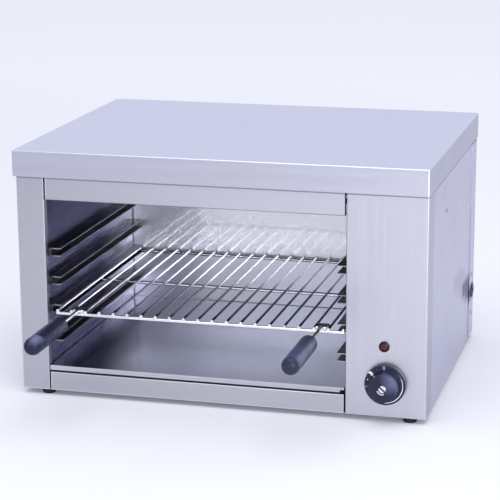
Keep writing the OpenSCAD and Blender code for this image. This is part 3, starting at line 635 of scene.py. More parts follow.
def sheet_material(
    name, rgb, lines, rough, finish, box=None, film=None, depth=1.0, highlight=0.6, zones=(), **uniform
):
    """Brushed sheet: grain along one way, wiping smudges, and if asked painted highlights on the
    folds and a baked-on coating with painted shade.
    """
    material, tree, shader, place = start_material(name, Metallic=1.0, **uniform)
    grain = group(tree, brushed_grain, vector=place, lines=lines)
    smudge = group(tree, hand_marks, vector=place).outputs[0]
    tone = span(tree, grain.outputs["Tone"], 0.35, 0.65)
    shade = blend_colour(tree, tone, (0.94, 0.94, 0.94), (1.0, 1.0, 1.0))
    shade = blend_colour(tree, calc(tree, "MULTIPLY", smudge, 0.5), shade, (0.93, 0.93, 0.93))
    base = vector_calc(tree, "MULTIPLY", shade, zoned(tree, place, tuple(rgb), zones))
    gloss = span(tree, tone, 0.0, 1.0, *rough)
    gloss = calc(tree, "ADD", gloss, calc(tree, "MULTIPLY", smudge, 0.05))
    # Baked-on coating with painted shade, darkening the sheet towards the ceiling.
    if film is not None:
        film_and_shade_mask = group(tree, baked_film_and_shade, vector=place, **{"from": film[0], "to": film[1]})
        cover = calc(tree, "MULTIPLY", film_and_shade_mask.outputs[0], 0.8)
        base = blend_colour(tree, cover, base, tuple(finish.film))
        gloss = calc(tree, "ADD", gloss, calc(tree, "MULTIPLY", film_and_shade_mask.outputs[0], 0.12))
    # Painted highlight along the folds, where the sheet is also made glossier.
    if box is not None:
        low, high = box
        width = finish.polish_and_highlight_width
        edge = group(tree, fold_polish_and_highlight, vector=place, low=low, high=high, width=width)
        cover = calc(tree, "MULTIPLY", edge.outputs[0], highlight)
        base = blend_colour(tree, cover, base, tuple(finish.fold))
        gloss = calc(tree, "SUBTRACT", gloss, calc(tree, "MULTIPLY", edge.outputs[0], 0.1))
    fill(tree, shader["Base Color"], base)
    fill(tree, shader["Roughness"], gloss)
    add_bump(tree, shader, grain.outputs["Lines"], finish.grain_depth * depth)
    return material


def lay_skin(tree, shader, place, skin, base, rough, depth, zones):
    """Colour, gloss and bump of a material with a moulded skin."""
    smooth, dull = rough
    fill(tree, shader["Base Color"], zoned(tree, place, base, zones))
    fill(tree, shader["Roughness"], span(tree, skin.outputs["Gloss"], 0.0, 1.0, dull, smooth))
    add_bump(tree, shader, skin.outputs["Pits"], depth)


def plated_material(name, rgb, rough, scale=900.0, metal=1.0, depth=0.01 * MM, zones=()):
    """Plated or drawn metal: a fine even skin whose tone and gloss change slowly."""
    material, tree, shader, place = start_material(name, Metallic=metal)
    skin = group(tree, moulded_skin, vector=place, scale=scale)
    base = blend_colour(tree, skin.outputs["Gloss"], darker(rgb, 0.88), tuple(rgb))
    lay_skin(tree, shader, place, skin, base, rough, depth, zones)
    return material


def plastic_material(name, rgb, rough, scale=1400.0, depth=0.04 * MM, zones=(), **uniform):
    """Moulded plastic or rubber: pitted skin, with paler worn patches."""
    material, tree, shader, place = start_material(name, **uniform)
    skin = group(tree, moulded_skin, vector=place, scale=scale)
    smudge = group(tree, hand_marks, vector=place, scale=45.0).outputs[0]
    worn = tuple(min(1.0, channel * 1.5 + 0.01) for channel in rgb)
    base = blend_colour(tree, calc(tree, "MULTIPLY", smudge, 0.6), tuple(rgb), worn)
    lay_skin(tree, shader, place, skin, base, rough, depth, zones)
    return material


def wool_material(name, rgb):
    """Mineral wool: a matted felt of short fibres."""
    material, tree, shader, place = start_material(name, Roughness=0.95)
    fibres = group(tree, brushed_grain, vector=place, lines=(260.0, 180.0, 620.0)).outputs["Lines"]
    fill(tree, shader["Base Color"], blend_colour(tree, fibres, darker(rgb, 0.6), rgb))
    add_bump(tree, shader, fibres, 0.8 * MM)
    return material


def background_rays(tree):
    """One for rays that show a background: the camera's, and those from metal or glass."""
    ray = put(tree, "ShaderNodeLightPath").outputs
    seen = calc(tree, "MAXIMUM", ray["Is Camera Ray"], ray["Is Glossy Ray"])
    return calc(tree, "MAXIMUM", seen, ray["Is Transmission Ray"])


def dress(names, material):
    """Give a finish to carried-over nodes."""
    for name in names:
        for slot in NODES[name].material_slots:
            slot.material = material


# ---------------------------------------------------------------- operators


# Painted shade that darkens the front slowly to the left: from a place in X, over a width, to a
# share of its colour.
LEFT_PART, LEFT_FADE, LEFT_SHADE = 0.05, 0.35, 0.84


class MELTER_OT_dress_casing(bpy.types.Operator):
    """Brush the lid, the front panels, the sides, the rear and the base"""

    bl_idname = "melter.dress_casing"
    bl_label = "Dress casing"

    def execute(self, context):
        finish = context.scene.melter.finish
        lid_low, lid_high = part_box("top_cover")
        post_low, post_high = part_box("left_front_post")
        header_low, header_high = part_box("header_panel")
        panel_low, panel_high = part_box("control_panel")
        lip_w, slit_w, strip_w, corner_w, end_w = 1.6 * MM, 1.2 * MM, 0.8 * MM, 2.2 * MM, 0.6 * MM
        behind_fold, behind_hem, wrap = 1.5 * MM, 1.1 * MM, 9 * MM
        front_drop, side_drop, skirt_top = 4.4 * MM, 5.4 * MM, lid_high.z - 1 * MM
        # Painted shade on the lid's turned-down edge, darker to the left and on the right side;
        # painted highlight on its right front corner.
        skirt = zone(finish.skirt, MM, top=skirt_top)
        skirt_left = zone(
            darker(finish.skirt, LEFT_SHADE), LEFT_FADE, right=LEFT_PART, top=skirt_top
        )
        skirt_end = zone(finish.skirt_end, MM, left=lid_high.x - strip_w, top=skirt_top)
        lid_corner = zone(finish.fold, MM, left=lid_high.x - corner_w, rear=lid_low.y + 1 * MM)
        # Painted shade: the front panels darken to the left.
        front_left = zone(darker(finish.front, LEFT_SHADE), LEFT_FADE, right=LEFT_PART)
        # Painted shade as a dark band just under the lid, on the front and on the sides and rear.
        front_gap = zone(finish.front_gap, MM, bottom=lid_low.z - front_drop)
        side_gap = zone(finish.shadow, MM, bottom=lid_low.z - side_drop)
        # Painted shade on the left upright's inner edge.
        lip = zone(finish.lip, MM, left=post_high.x - lip_w, front=post_low.y + behind_fold)
        # Painted shade in the slit beside the header, inside the header and at its open end.
        slit = zone(finish.shadow, 0.4 * MM, left=post_high.x - slit_w, bottom=header_low.z)
        header_inside = zone(
            finish.shadow, MM, front=header_low.y + behind_hem, bottom=header_low.z + 1 * MM
        )
        header_end = zone(finish.shadow, 0.3 * MM, left=header_high.x - end_w)
        return_strip = zone(
            darker(finish.side, 0.74), MM, left=panel_high.x - strip_w,
            front=panel_low.y + behind_fold,
        )
        # Painted shade along the end of the control panel's return on the side.
        return_gap = zone(finish.front_gap, MM, rear=panel_high.y + wrap)
        # Painted dark reflection of the gland, on the right side and the rear.
        smear = self.smear_zones(finish)
        sheets = [
            ("top_cover", finish.lid, GRAIN_ALONG_X, 0.05,
             [skirt, skirt_left, skirt_end, lid_corner]),
            ("header_panel", finish.front, GRAIN_ALONG_X, 0.5,
             [front_left, front_gap, header_inside, header_end]),
            ("sill_panel", darker(finish.front, 0.93), GRAIN_ALONG_X, 0.5, [front_left]),
            ("left_front_post", finish.front, GRAIN_ALONG_Z, 0.5,
             [front_left, lip, front_gap, slit]),
            ("control_panel", finish.front, GRAIN_ALONG_Z, 0.15, [return_strip, front_gap]),
            ("left_side_panel", finish.side, GRAIN_ALONG_Y, 0.5, [side_gap]),
            ("right_side_panel", finish.side, GRAIN_ALONG_Y, 0.5, [return_gap, side_gap, *smear]),
            ("rear_panel", finish.side, GRAIN_ALONG_Z, 0.05, [side_gap, smear[-1]]),
        ]
        # A cut edge gets no painted highlight, so there the side of the fold's box is moved far
        # off.
        kept, down, right = Vector(), Vector((0, 0, -FAR)), Vector((FAR, 0, 0))
        cut_edges = {
            "top_cover": (down, kept),
            "left_front_post": (kept, right),
            "header_panel": (down, right),
        }
        for name, rgb, lines, highlight, zones in sheets:
            low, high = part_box(name)
            low_shift, high_shift = cut_edges.get(name, (kept, kept))
            material = sheet_material(
                f"brushed_{name}", rgb, lines, (0.30, 0.40), finish,
                box=(low + low_shift, high + high_shift), highlight=highlight, zones=zones,
            )
            dress([name], material)
        dress(["base_plate", "panel_stay"], sheet_material(
            "plain_base_sheet", darker(finish.side, 0.8), GRAIN_ALONG_X, (0.4, 0.5), finish
        ))
        rivet = plated_material("dull_rivets", darker(finish.side, 0.7), (0.3, 0.42))
        fastener = plated_material("bright_fasteners", finish.chrome, (0.22, 0.34))
        dress(["side_rivets"], rivet)
        dress(["foot_studs", "foot_nuts"], fastener)
        return {"FINISHED"}

    def smear_zones(self, finish):
        """Painted dark reflection of the gland: soft boxes in a row that climbs forward from it,
        the furthest first and faint.
        """
        low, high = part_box("mains_gland")
        reach, climb = Vector((30, 45, 18)) * MM, Vector((0, -30, 11)) * MM
        zones = []
        for step in range(5, -1, -1):
            middle = (low + high) / 2 + step * climb
            tone = finish.smear if step < 3 else darker(finish.side, 0.78)
            zones.append((middle - reach, middle + reach, tuple(tone), 13 * MM))
        return zones


class MELTER_OT_close_header(bpy.types.Operator):
    """Close the header's open right end with a folded tab"""

    bl_idname = "melter.close_header"
    bl_label = "Close header"

    def execute(self, context):
        finish = context.scene.melter.finish
        low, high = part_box("header_panel")
        lid_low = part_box("top_cover")[0]
        set_back, thick, inside, tuck = 0.8 * MM, 1 * MM, 1.2 * MM, 8 * MM
        tab_low = (high.x - set_back - thick, low.y + inside, low.z + inside)
        tab_high = (high.x - set_back, high.y, lid_low.z + tuck)
        # The tab takes the painted shade colour, so that it shows as shade at the header's open
        # end.
        material = sheet_material(
            "shaded_tab_sheet", finish.shadow, GRAIN_ALONG_Z, (0.4, 0.5), finish
        )
        mesh = clean_mesh("header_end_tab", *plate(tab_low, tab_high))
        add_piece(mesh, material, "casing")
        return {"FINISHED"}


class MELTER_OT_dress_cavity(bpy.types.Operator):
    """Finish the cavity's walls, its runners and the crumb tray"""

    bl_idname = "melter.dress_cavity"
    bl_label = "Dress cavity"

    def execute(self, context):
        finish = context.scene.melter.finish
        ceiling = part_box("cavity_ceiling")[0].z
        back_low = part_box("back_cavity_wall")[0]
        film_from, film_full, corner_w = 140 * MM, 30 * MM, 5 * MM
        # The coating darkens the cavity towards the ceiling, as baked-on dirt and as painted shade.
        film = (ceiling - film_from, ceiling - film_full)
        # Painted light towards the left wall's rear.
        rear = zone(finish.lit_wall_rear, 0.16, front=0.10)
        # Painted shade in the corner where the left wall meets the back wall.
        corner = zone(finish.shadow, MM, front=back_low.y - corner_w)
        # The left wall takes the shaded copy of the sheet, and the right wall the lit copy.
        dress(["left_cavity_wall"], sheet_material(
            "shaded_left_wall", finish.side_wall, GRAIN_ALONG_Y, (0.20, 0.30), finish, film=film,
            zones=[rear, corner], Specular_Tint=(0.55, 0.55, 0.62, 1.0),
        ))
        dress(["right_cavity_wall"], sheet_material(
            "lit_right_wall", finish.right_wall, GRAIN_ALONG_Y, (0.14, 0.22), finish, film=film
        ))
        # The ceiling and the hangers take a darker copy of the shaded wall.
        dress(["cavity_ceiling", "element_hangers"], sheet_material(
            "shaded_ceiling", darker(finish.side_wall, 0.7), GRAIN_ALONG_X, (0.3, 0.4), finish,
            film=film,
        ))
        # Painted shade on all but the left end of the back wall, and more on its lower part under
        # the rack.
        right_part = zone(darker(finish.back_wall, 0.93), 0.16, left=-0.16)
        low_part = zone(darker(finish.back_wall, 0.90), 0.09, top=back_low.z + 0.13)
        dress(["back_cavity_wall"], sheet_material(
            "lit_back_wall", finish.back_wall, GRAIN_ALONG_X, (0.30, 0.38), finish, depth=0.1,
            zones=[right_part, low_part], Coat_Weight=1.0, Coat_IOR=2.2, Coat_Roughness=0.05,
        ))
        self.dress_runners(finish)
        tray_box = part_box("crumb_tray")
        lip_w = 1.4 * MM
        # Painted shade on the tray's left part and front lip; the middle and right take the lit
        # copy.
        middle_and_right = zone(finish.tray, 0.28, left=-0.17)
        lip = zone(finish.tray_lip, MM, rear=tray_box[0].y + lip_w)
        dress(["crumb_tray"], sheet_material(
            "tray_sheet", darker(finish.tray, 0.72), GRAIN_ALONG_X, (0.14, 0.20), finish,
            box=tray_box, depth=0.15, highlight=0.2, zones=[middle_and_right, lip],
        ))
        return {"FINISHED"}

    def dress_runners(self, finish):
        """Painted shade: a darker copy of the shaded wall for the runners, with a painted highlight
        where it is cut; the wall's sheet for the tray's rails.
        """
        cut_w = 1.5 * MM
        for name in [f"{side}_runner_{level}" for level in range(1, 5) for side in SIDES]:
            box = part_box(name)
            # Painted highlight on each runner's cut front end.
            cut_end = zone(darker(finish.fold, 0.55), 0.5 * MM, rear=box[0].y + cut_w)
            material = sheet_material(
                f"folded_{name}", darker(finish.side_wall, 0.6), GRAIN_ALONG_Y, (0.25, 0.35),
                finish, box=box, highlight=0.0, zones=[cut_end],
            )
            dress([name], material)
        rails = sheet_material(
            "rail_sheet", finish.side_wall, GRAIN_ALONG_Y, (0.25, 0.35), finish
        )
        dress([f"{side}_tray_rail" for side in SIDES], rails)


class MELTER_OT_dress_heating(bpy.types.Operator):
    """Finish the heating rods, the insulation, the regulator and the wiring"""

    bl_idname = "melter.dress_heating"
    bl_label = "Dress heating"

    def execute(self, context):
        finish = context.scene.melter.finish
        rods = [f"{place}_heating_element" for place in ("front", "middle", "rear")]
        wools = [f"{place}_insulation" for place in ("left", "rear", "ceiling")]
        oxidised = plated_material(
            "oxidised_rod", finish.oxide, (0.45, 0.65), scale=500.0, metal=0.7, depth=0.08 * MM
        )
        sleeve = plastic_material("wire_sleeve", finish.sleeve, (0.5, 0.7), scale=2600.0)
        brass = plated_material("brass", finish.brass, (0.25, 0.4))
        dress(rods, oxidised)
        dress(wools, wool_material("wool", finish.wool))
        dress(["element_fittings", "regulator_nut"], brass)
        dress(["internal_wires"], sleeve)
        dress(["regulator_body"], plastic_material("regulator_case", finish.regulator, (0.4, 0.6)))
        dress(["regulator_shaft"], plated_material("shaft_steel", finish.shaft, (0.2, 0.3)))
        dress(["terminal_block"], plastic_material("glazed_ceramic", finish.ceramic, (0.2, 0.35)))
        dress(["pilot_holder"], plastic_material("pale_plastic", finish.holder, (0.35, 0.5)))
        return {"FINISHED"}


class MELTER_OT_build_rack(bpy.types.Operator):
    """Build the rack's wires, cross bars and weld beads"""

    bl_idname = "melter.build_rack"
    bl_label = "Build rack"

    def execute(self, context):
        sizes = context.scene.melter.rack
        finish = context.scene.melter.finish
        low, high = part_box("rack_grid")
        bar_r, wire_r = sizes.bar_d / 2, sizes.wire_d / 2
        bar_z, wire_z = low.z + bar_r, high.z - wire_r
        bars_y = np.linspace(low.y + bar_r, high.y - bar_r, 3)
        wires_x = np.linspace(low.x + sizes.wire_inset, high.x - sizes.wire_inset, sizes.wires)
        chance = np.random.default_rng(7)

        def stray(amount):
            """A slow sideways wave, sin of one and a half turns, with its own size and phase."""
            size, phase = chance.normal(0.0, amount), chance.uniform(0.0, 2 * math.pi)

            def path(s):
                wave = size * np.sin(s * 3 * math.pi + phase) * np.sin(s * math.pi)
                return np.stack([wave, 0 * s, 0.5 * wave], axis=-1)

            return path

        bars = [domed_rod((low.x, y, bar_z), (high.x, y, bar_z), bar_r) for y in bars_y]
        wires = []
        for x in wires_x:
            ends = (x, low.y + sizes.wire_start, wire_z), (x, high.y, wire_z)
            wires.append(domed_rod(*ends, wire_r, 16, rows=15, stray=stray(sizes.wobble)))
        # At the front bar the wires butt on top, so their beads are fuller and stand higher.
        joint_z = (bar_z + bar_r + wire_z - wire_r) / 2
        front_weld = (bars_y[0], wire_z - 0.4 * MM, 1.12, 0.95)
        welds = [front_weld] + [(y, joint_z, 1.0, 0.55) for y in bars_y[1:]]
        beads = []
        for x in wires_x:
            for y, z, weight, flatness in welds:
                radius = sizes.bead_r * weight * chance.uniform(0.92, 1.08)
                beads.append(bead((x, y, z), np.array([1.0, 1.0, flatness]) * radius))
        # Painted dark reflection on the front half of the wires.
        heated = zone(finish.heated, 0.06, left=low.x + 0.02, rear=bars_y[1] + 0.04)
        wire_chrome = plated_material(
            "chromed_wire", finish.chrome, (0.16, 0.26), depth=0.004 * MM, zones=[heated]
        )
        bar_chrome = plated_material("chromed_bar", finish.chrome, (0.10, 0.2))
        weld = plated_material(
            "chromed_weld", darker(finish.chrome, 0.98), (0.35, 0.45), scale=500.0
        )
        add_piece(clean_mesh("rack_wires", *joined(wires)), wire_chrome, "rack",
                  ["rack_grid"])
        add_piece(clean_mesh("rack_bars", *joined(bars)), bar_chrome, "rack")
        add_piece(clean_mesh("rack_weld_beads", *joined(beads)), weld, "rack")
        return {"FINISHED"}


class MELTER_OT_build_handles(bpy.types.Operator):
    """Build the two handle rods with their cross pieces and braces, and the grips on them"""

    bl_idname = "melter.build_handles"
    bl_label = "Build handles"

    def execute(self, context):
        sizes = context.scene.melter.rack
        finish = context.scene.melter.finish
        chrome = self.rod_chrome(finish, sizes.rod_d)
        for side, plastic in zip(SIDES, self.grip_plastics(finish)):
            self.add_bar(side, sizes, chrome)
            self.add_grip(side, sizes, plastic)
        return {"FINISHED"}

    def rod_chrome(self, finish, rod_d):
        """Plating with painted shade behind the rack's front bar and a painted dark reflection on
        each rod's left half.
        """
        behind_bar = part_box("rack_grid")[0].y + 10 * MM
        zones = [zone(darker(finish.heated, 0.4), 2 * MM, front=behind_bar)]
        for side, left in zip(SIDES, (-FAR, 0.0)):
            low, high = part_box(f"{side}_handle_rod")
            right, rear = (low.x + high.x) / 2 + 0.4 * MM, high.y - rod_d
            zones.append(
                zone(darker(finish.heated, 0.5), 0.5 * MM, left=left, right=right, rear=rear)
            )
        rgb = darker(finish.chrome, 0.85)
        return plated_material("chromed_rod", rgb, (0.16, 0.26), zones=zones)

    def grip_plastics(self, finish):
        """Black plastic with a painted highlight on the left grip's nose, and a lighter copy with
        painted sheen for the right.
        """
        low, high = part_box("left_handle_grip")
        # Painted highlight on the left grip's nose.
        shine = zone(
            finish.shine, 9 * MM, left=low.x + 9 * MM, front=low.y - 1 * MM,
            bottom=high.z - 9 * MM, right=high.x + 2 * MM, rear=low.y + 26 * MM,
            top=high.z + 10 * MM,
        )
        # Painted shade at the right grip's nose and rear.
        front_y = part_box("right_handle_grip")[0].y
        nose = zone(finish.grip, 10 * MM, rear=front_y + 13 * MM)
        rear = zone(darker(finish.grip_sheen, 0.6), 40 * MM, front=front_y + 45 * MM)
        left = plastic_material(
            "grip_plastic", finish.grip, (0.22, 0.32), depth=0.01 * MM, zones=[shine],
            Specular_IOR_Level=0.12,
        )
        right = plastic_material(
            "worn_grip_plastic", finish.grip_sheen, (0.34, 0.46), zones=[rear, nose],
            Specular_IOR_Level=0.35,
        )
        return left, right

    def add_bar(self, side, sizes, chrome):
        """A rod, the cross piece that it is welded to, and a brace between two wires behind it."""
        low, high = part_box(f"{side}_handle_rod")
        rod_r, over = sizes.rod_d / 2, 0.4 * MM
        x, z, cross_y = (low.x + high.x) / 2, (low.z + high.z) / 2, high.y - rod_r
        brace_y = cross_y + sizes.brace_back
        brace_ends = (low.x - over, brace_y, z), (high.x + over, brace_y, z)
        parts = [
            domed_rod((low.x, cross_y, z), (high.x, cross_y, z), rod_r),
            domed_rod((x, low.y, z), (x, cross_y, z), rod_r),
            bead((x, cross_y - 0.6 * rod_r, z), np.array([1.7, 1.1, 1.05]) * rod_r, 20, 12),
            domed_rod(*brace_ends, 0.8 * rod_r, dome=0.2),
        ]
        mesh = clean_mesh(f"{side}_handle_bar", *joined(parts))
        add_piece(mesh, chrome, "rack", [f"{side}_handle_rod"])

    def add_grip(self, side, sizes, plastic):
        """A moulding with a round nose and shoulder, and an eye at its rear for the rod."""
        rod_low, rod_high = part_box(f"{side}_handle_rod")
        low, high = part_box(f"{side}_handle_grip")
        grip_r, grip_l = (high.x - low.x) / 2, high.y - low.y
        rear_r, eye_r = grip_r - sizes.taper, 1.15 * sizes.rod_d / 2
        edge_l, eye_l = grip_l - 0.5 * MM, grip_l - 4 * MM
        corners = [
            (0, 0), (grip_r, 0), (rear_r, edge_l), (eye_r, grip_l), (eye_r, eye_l), (0, eye_l)
        ]
        outline = rounded(corners, [sizes.nose, sizes.shoulder, 0.3 * MM, 0], 16)
        origin = ((rod_low.x + rod_high.x) / 2, low.y, (rod_low.z + rod_high.z) / 2)
        mesh = clean_mesh(f"{side}_grip_moulding", *turned(outline, origin, BACKWARD, 72))
        add_piece(mesh, plastic, "rack", [f"{side}_handle_grip"])


class MELTER_OT_build_knob(bpy.types.Operator):
    """Build the knob with its numerals, dots and arc, and the slotted cap in its face"""

    bl_idname = "melter.build_knob"
    bl_label = "Build knob"

    def execute(self, context):
        sizes = context.scene.melter.knob
        finish = context.scene.melter.finish
        low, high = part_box("knob")
        centre = np.array([(low.x + high.x) / 2, high.y, (low.z + high.z) / 2])
        knob_h = high.y - low.y
        recess_h = knob_h - sizes.recess_deep
        self.add_moulding(sizes, finish, centre, (high.x - low.x) / 2, knob_h, recess_h)
        self.add_cap(sizes, finish, centre + np.array([0, -recess_h, 0]))
        self.add_paint(sizes, finish, centre + np.array([0, -sizes.skirt_h, 0]))
        return {"FINISHED"}

    def add_moulding(self, sizes, finish, centre, skirt_r, knob_h, recess_h):
        """The skirt, the raised body on it and the shallow dish in its face, in one moulding."""
        face, body_r, recess_r = sizes.skirt_h, sizes.body_d / 2, sizes.recess_d / 2
        well_r, well_h = sizes.cap_d / 2 + 0.1 * MM, recess_h - 2 * MM
        draft, slope = 1 * MM, 1.6 * MM
        corners = [
            (0, 0), (skirt_r - draft, 0), (skirt_r, 1.5 * MM), (skirt_r, face - 1.2 * MM),
            (skirt_r - draft, face), (body_r, face), (body_r - draft, knob_h), (recess_r, knob_h),
            (recess_r - slope, recess_h), (well_r, recess_h), (well_r, well_h), (0, well_h),
        ]
        cuts = np.array([0.6, 0.7, 0.7, 0.6, 1.2, 3.0, 0.3, 0.3, 0.1, 0.1]) * MM
        outline = rounded(corners, cuts, 8)
        x, y, z = centre
        # Painted sheen on the knob's upper right, and a painted highlight in the dish round the
        # cap.
        sheen = zone(
            finish.knob_sheen, 16 * MM, left=x - 4 * MM, bottom=z - 8 * MM, rear=y - face - 2 * MM
        )
        edge = 0.1 * MM
        dish = zone(
            darker(finish.marks, 0.8), edge, left=x - 9 * MM, front=y - knob_h + edge,
            bottom=z - 9 * MM, right=x + 2.5 * MM, rear=y - recess_h - edge, top=z - 2.5 * MM,
        )
        black = plastic_material(
            "knob_plastic", finish.knob, (0.16, 0.26), zones=[sheen, dish], Specular_IOR_Level=0.28
        )
        mesh = clean_mesh("knob_moulding", *turned(outline, centre, FORWARD, 128))
        add_piece(mesh, black, "knob", ["knob"])

    def add_cap(self, sizes, finish, seat):
        """A low cap that stands in the dish, with a straight slot cut across its face."""
        cap_r, sunk, proud, slot_h = sizes.cap_d / 2, 2 * MM, 1 * MM, 1.2 * MM
        corners = [(0, -sunk), (cap_r, -sunk), (cap_r, proud), (0, proud)]
        outline = rounded(corners, [0, 0.5 * MM], 8)
        mesh = clean_mesh("knob_cap_disc", *turned(outline, seat, FORWARD, 96))
        # Painted shade inside the slot, below the cap's face.
        slot_shade, floor_y = (0.02, 0.02, 0.03), seat[1] - 0.8 * MM
        below_face = zone(slot_shade, 0.3 * MM, front=floor_y)
        metal = plated_material("cap_metal", finish.cap, (0.15, 0.25), zones=[below_face])
        disc = add_piece(mesh, metal, "knob", ["knob_cap"])
        cut_slot(disc, seat + np.array([0, -proud, 0]), sizes.slot_w, slot_h, sizes.slot_turn)

    def add_paint(self, sizes, finish, face):
        """Numerals, the dots between them and a tapered arc, as thin raised paint on the skirt."""
        radius, dot_r, paint_h = sizes.numeral_r, sizes.dot_r, sizes.paint_h
        meshes = []
        for index in range(sizes.numerals):
            label = str(-index % sizes.numerals)
            height, bold = sizes.numeral_h, sizes.numeral_w
            if index == 1:
                height, bold = sizes.full_h, sizes.full_w
            turn = sizes.first + index * sizes.pitch
            meshes.append(numeral_mesh(label, height, bold, paint_h, face, radius, turn))
        dots = []
        dot = [(0, -paint_h), (dot_r, -paint_h), (dot_r, paint_h), (0, paint_h)]
        for index in range(sizes.numerals - 1):
            turn = sizes.first + (index + 0.5) * sizes.pitch
            place = face + np.array([-math.sin(turn) * radius, 0, math.cos(turn) * radius])
            dots.append(turned(dot, place, FORWARD, 20))
        x, _, z = face
        # The nought is greyer and the first dot darker; the paint at the lower left, with the arc's
        # end, gets painted shade.
        greyed = tuple(finish.darker_marks)
        nought = zone(greyed, MM, left=x - 5 * MM, bottom=z + 10 * MM)
        first_dot = zone(
            darker(greyed, 0.2), MM, left=x - 14 * MM, bottom=z + 19 * MM, right=x - 8 * MM
        )
        low_left_shade = zone(darker(greyed, 0.5), MM, right=x - 2 * MM, top=z + 4 * MM)
        paint = plastic_material(
            "numeral_paint", finish.marks, (0.4, 0.5), zones=[nought, first_dot, low_left_shade]
        )
        # The arc is a painted scale mark that also stands in for the highlight on the skirt's edge.
        arc = painted_arc(face, sizes.arc_r, sizes.arc_w, paint_h)
        add_piece(clean_mesh("knob_dots", *joined(dots)), paint, "knob")
        add_piece(clean_mesh("knob_arc", *arc), paint, "knob")
        add_piece(merged_mesh("knob_numerals", meshes), paint, "knob")


def cut_slot(disc, middle, width, depth, turn):
    """Cut a straight slot across a disc that faces the front, and apply the cut."""
    mesh = bpy.data.meshes.new("slot_cutter")
    work = bmesh.new()
    place = (
        Matrix.Translation(Vector(middle))
        @ Matrix.Rotation(turn, 4, "Y")
        @ Matrix.Diagonal((50 * MM, 2 * depth, width, 1.0))
    )
    bmesh.ops.create_cube(work, size=1.0, matrix=place)
    work.to_mesh(mesh)
    work.free()
    cutter = link_object("slot_cutter", mesh)
    modifier = disc.modifiers.new("Slot", "BOOLEAN")
    modifier.operation = "DIFFERENCE"
    modifier.solver = "EXACT"
    modifier.object = cutter
    cut = evaluated_mesh(disc)
    disc.modifiers.clear()
    disc.data = cut
    bpy.data.objects.remove(cutter)


def numeral_mesh(text, height, bold, thickness, face, radius, turn):
    """One numeral as a mesh, laid on the skirt with its head outwards."""
    font_share = 0.7
    curve = bpy.data.curves.new("numeral", "FONT")
    curve.body = text
    curve.size = height / font_share
    curve.align_x = "CENTER"
    curve.align_y = "CENTER"
    curve.extrude = thickness
    curve.offset = bold
    shape = link_object("numeral", curve)
    mesh = evaluated_mesh(shape)
    bpy.data.objects.remove(shape)
    mesh.transform(
        Matrix.Translation(Vector(face))
        @ Matrix.Rotation(-turn, 4, "Y")
        @ Matrix.Translation((0, 0, radius))
        @ Matrix.Rotation(math.pi / 2, 4, "X")
    )
    return mesh


class MELTER_OT_build_pilot(bpy.types.Operator):
    """Build the pilot light's rim and its domed lens"""

    bl_idname = "melter.build_pilot"
    bl_label = "Build pilot light"

    def execute(self, context):
        low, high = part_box("pilot_lens")
        origin = ((low.x + high.x) / 2, high.y, (low.z + high.z) / 2)
        rim_r, proud = (high.x - low.x) / 2, high.y - low.y
        lens_r = rim_r - 1.4 * MM
        edge, crest, floor = 0.6 * proud, 0.75 * proud, 0.3 * proud
        foot, shoulder = 0.2 * proud, 0.7 * proud
        rim = rounded(
            [(0, 0), (rim_r, 0), (rim_r, edge), (lens_r, crest), (lens_r, floor), (0, floor)],
            [0, 0.3 * MM, 0.3 * MM, 0.1 * MM],
        )
        dome = rounded(
            [(0, foot), (lens_r, foot), (lens_r, shoulder), (0, proud)], [0, 2.2 * MM], 14
        )
        lens = context.scene.melter.finish.lens
        black = plastic_material(
            "lens_rim", darker(lens, 0.3), (0.25, 0.35), Specular_IOR_Level=0.2
        )
        red = plastic_material(
            "lens_red", lens, (0.08, 0.18), depth=0.01 * MM, Specular_IOR_Level=0.3
        )
        rim_mesh = clean_mesh("pilot_rim", *turned(rim, origin, FORWARD))
        dome_mesh = clean_mesh("pilot_dome", *turned(dome, origin, FORWARD))
        add_piece(rim_mesh, black, "casing")
        add_piece(dome_mesh, red, "casing", ["pilot_lens"])
        return {"FINISHED"}


class MELTER_OT_build_feet(bpy.types.Operator):
    """Build the four rubber feet and finish the mains gland"""

    bl_idname = "melter.build_feet"
    bl_label = "Build feet"

    def execute(self, context):
        finish = context.scene.melter.finish
        rubber = plastic_material(
            "foot_rubber", finish.rubber, (0.6, 0.75), scale=700.0, depth=0.1 * MM,
            Specular_IOR_Level=0.2,
        )
        for name in [f"{end}_{side}_foot" for end in ("front", "rear") for side in SIDES]:
            low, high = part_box(name)
            foot_r, foot_h = (high.x - low.x) / 2, high.z - low.z
            tread_r, belly_h = foot_r - 1.2 * MM, 0.7 * foot_h
            outline = rounded(
                [(0, 0), (tread_r, 0), (foot_r, belly_h), (foot_r, foot_h), (0, foot_h)],
                [0.8 * MM, 0.5 * MM, 0.3 * MM],
            )
            origin = ((low.x + high.x) / 2, (low.y + high.y) / 2, low.z)
            mesh = clean_mesh(f"{name}_rubber", *turned(outline, origin, UPWARD, 48))
            add_piece(mesh, rubber, "casing", [name])
        black = plastic_material("gland_plastic", darker(finish.grip, 0.8), (0.35, 0.5))
        dress(["mains_gland", "gland_locknut"], black)
        return {"FINISHED"}


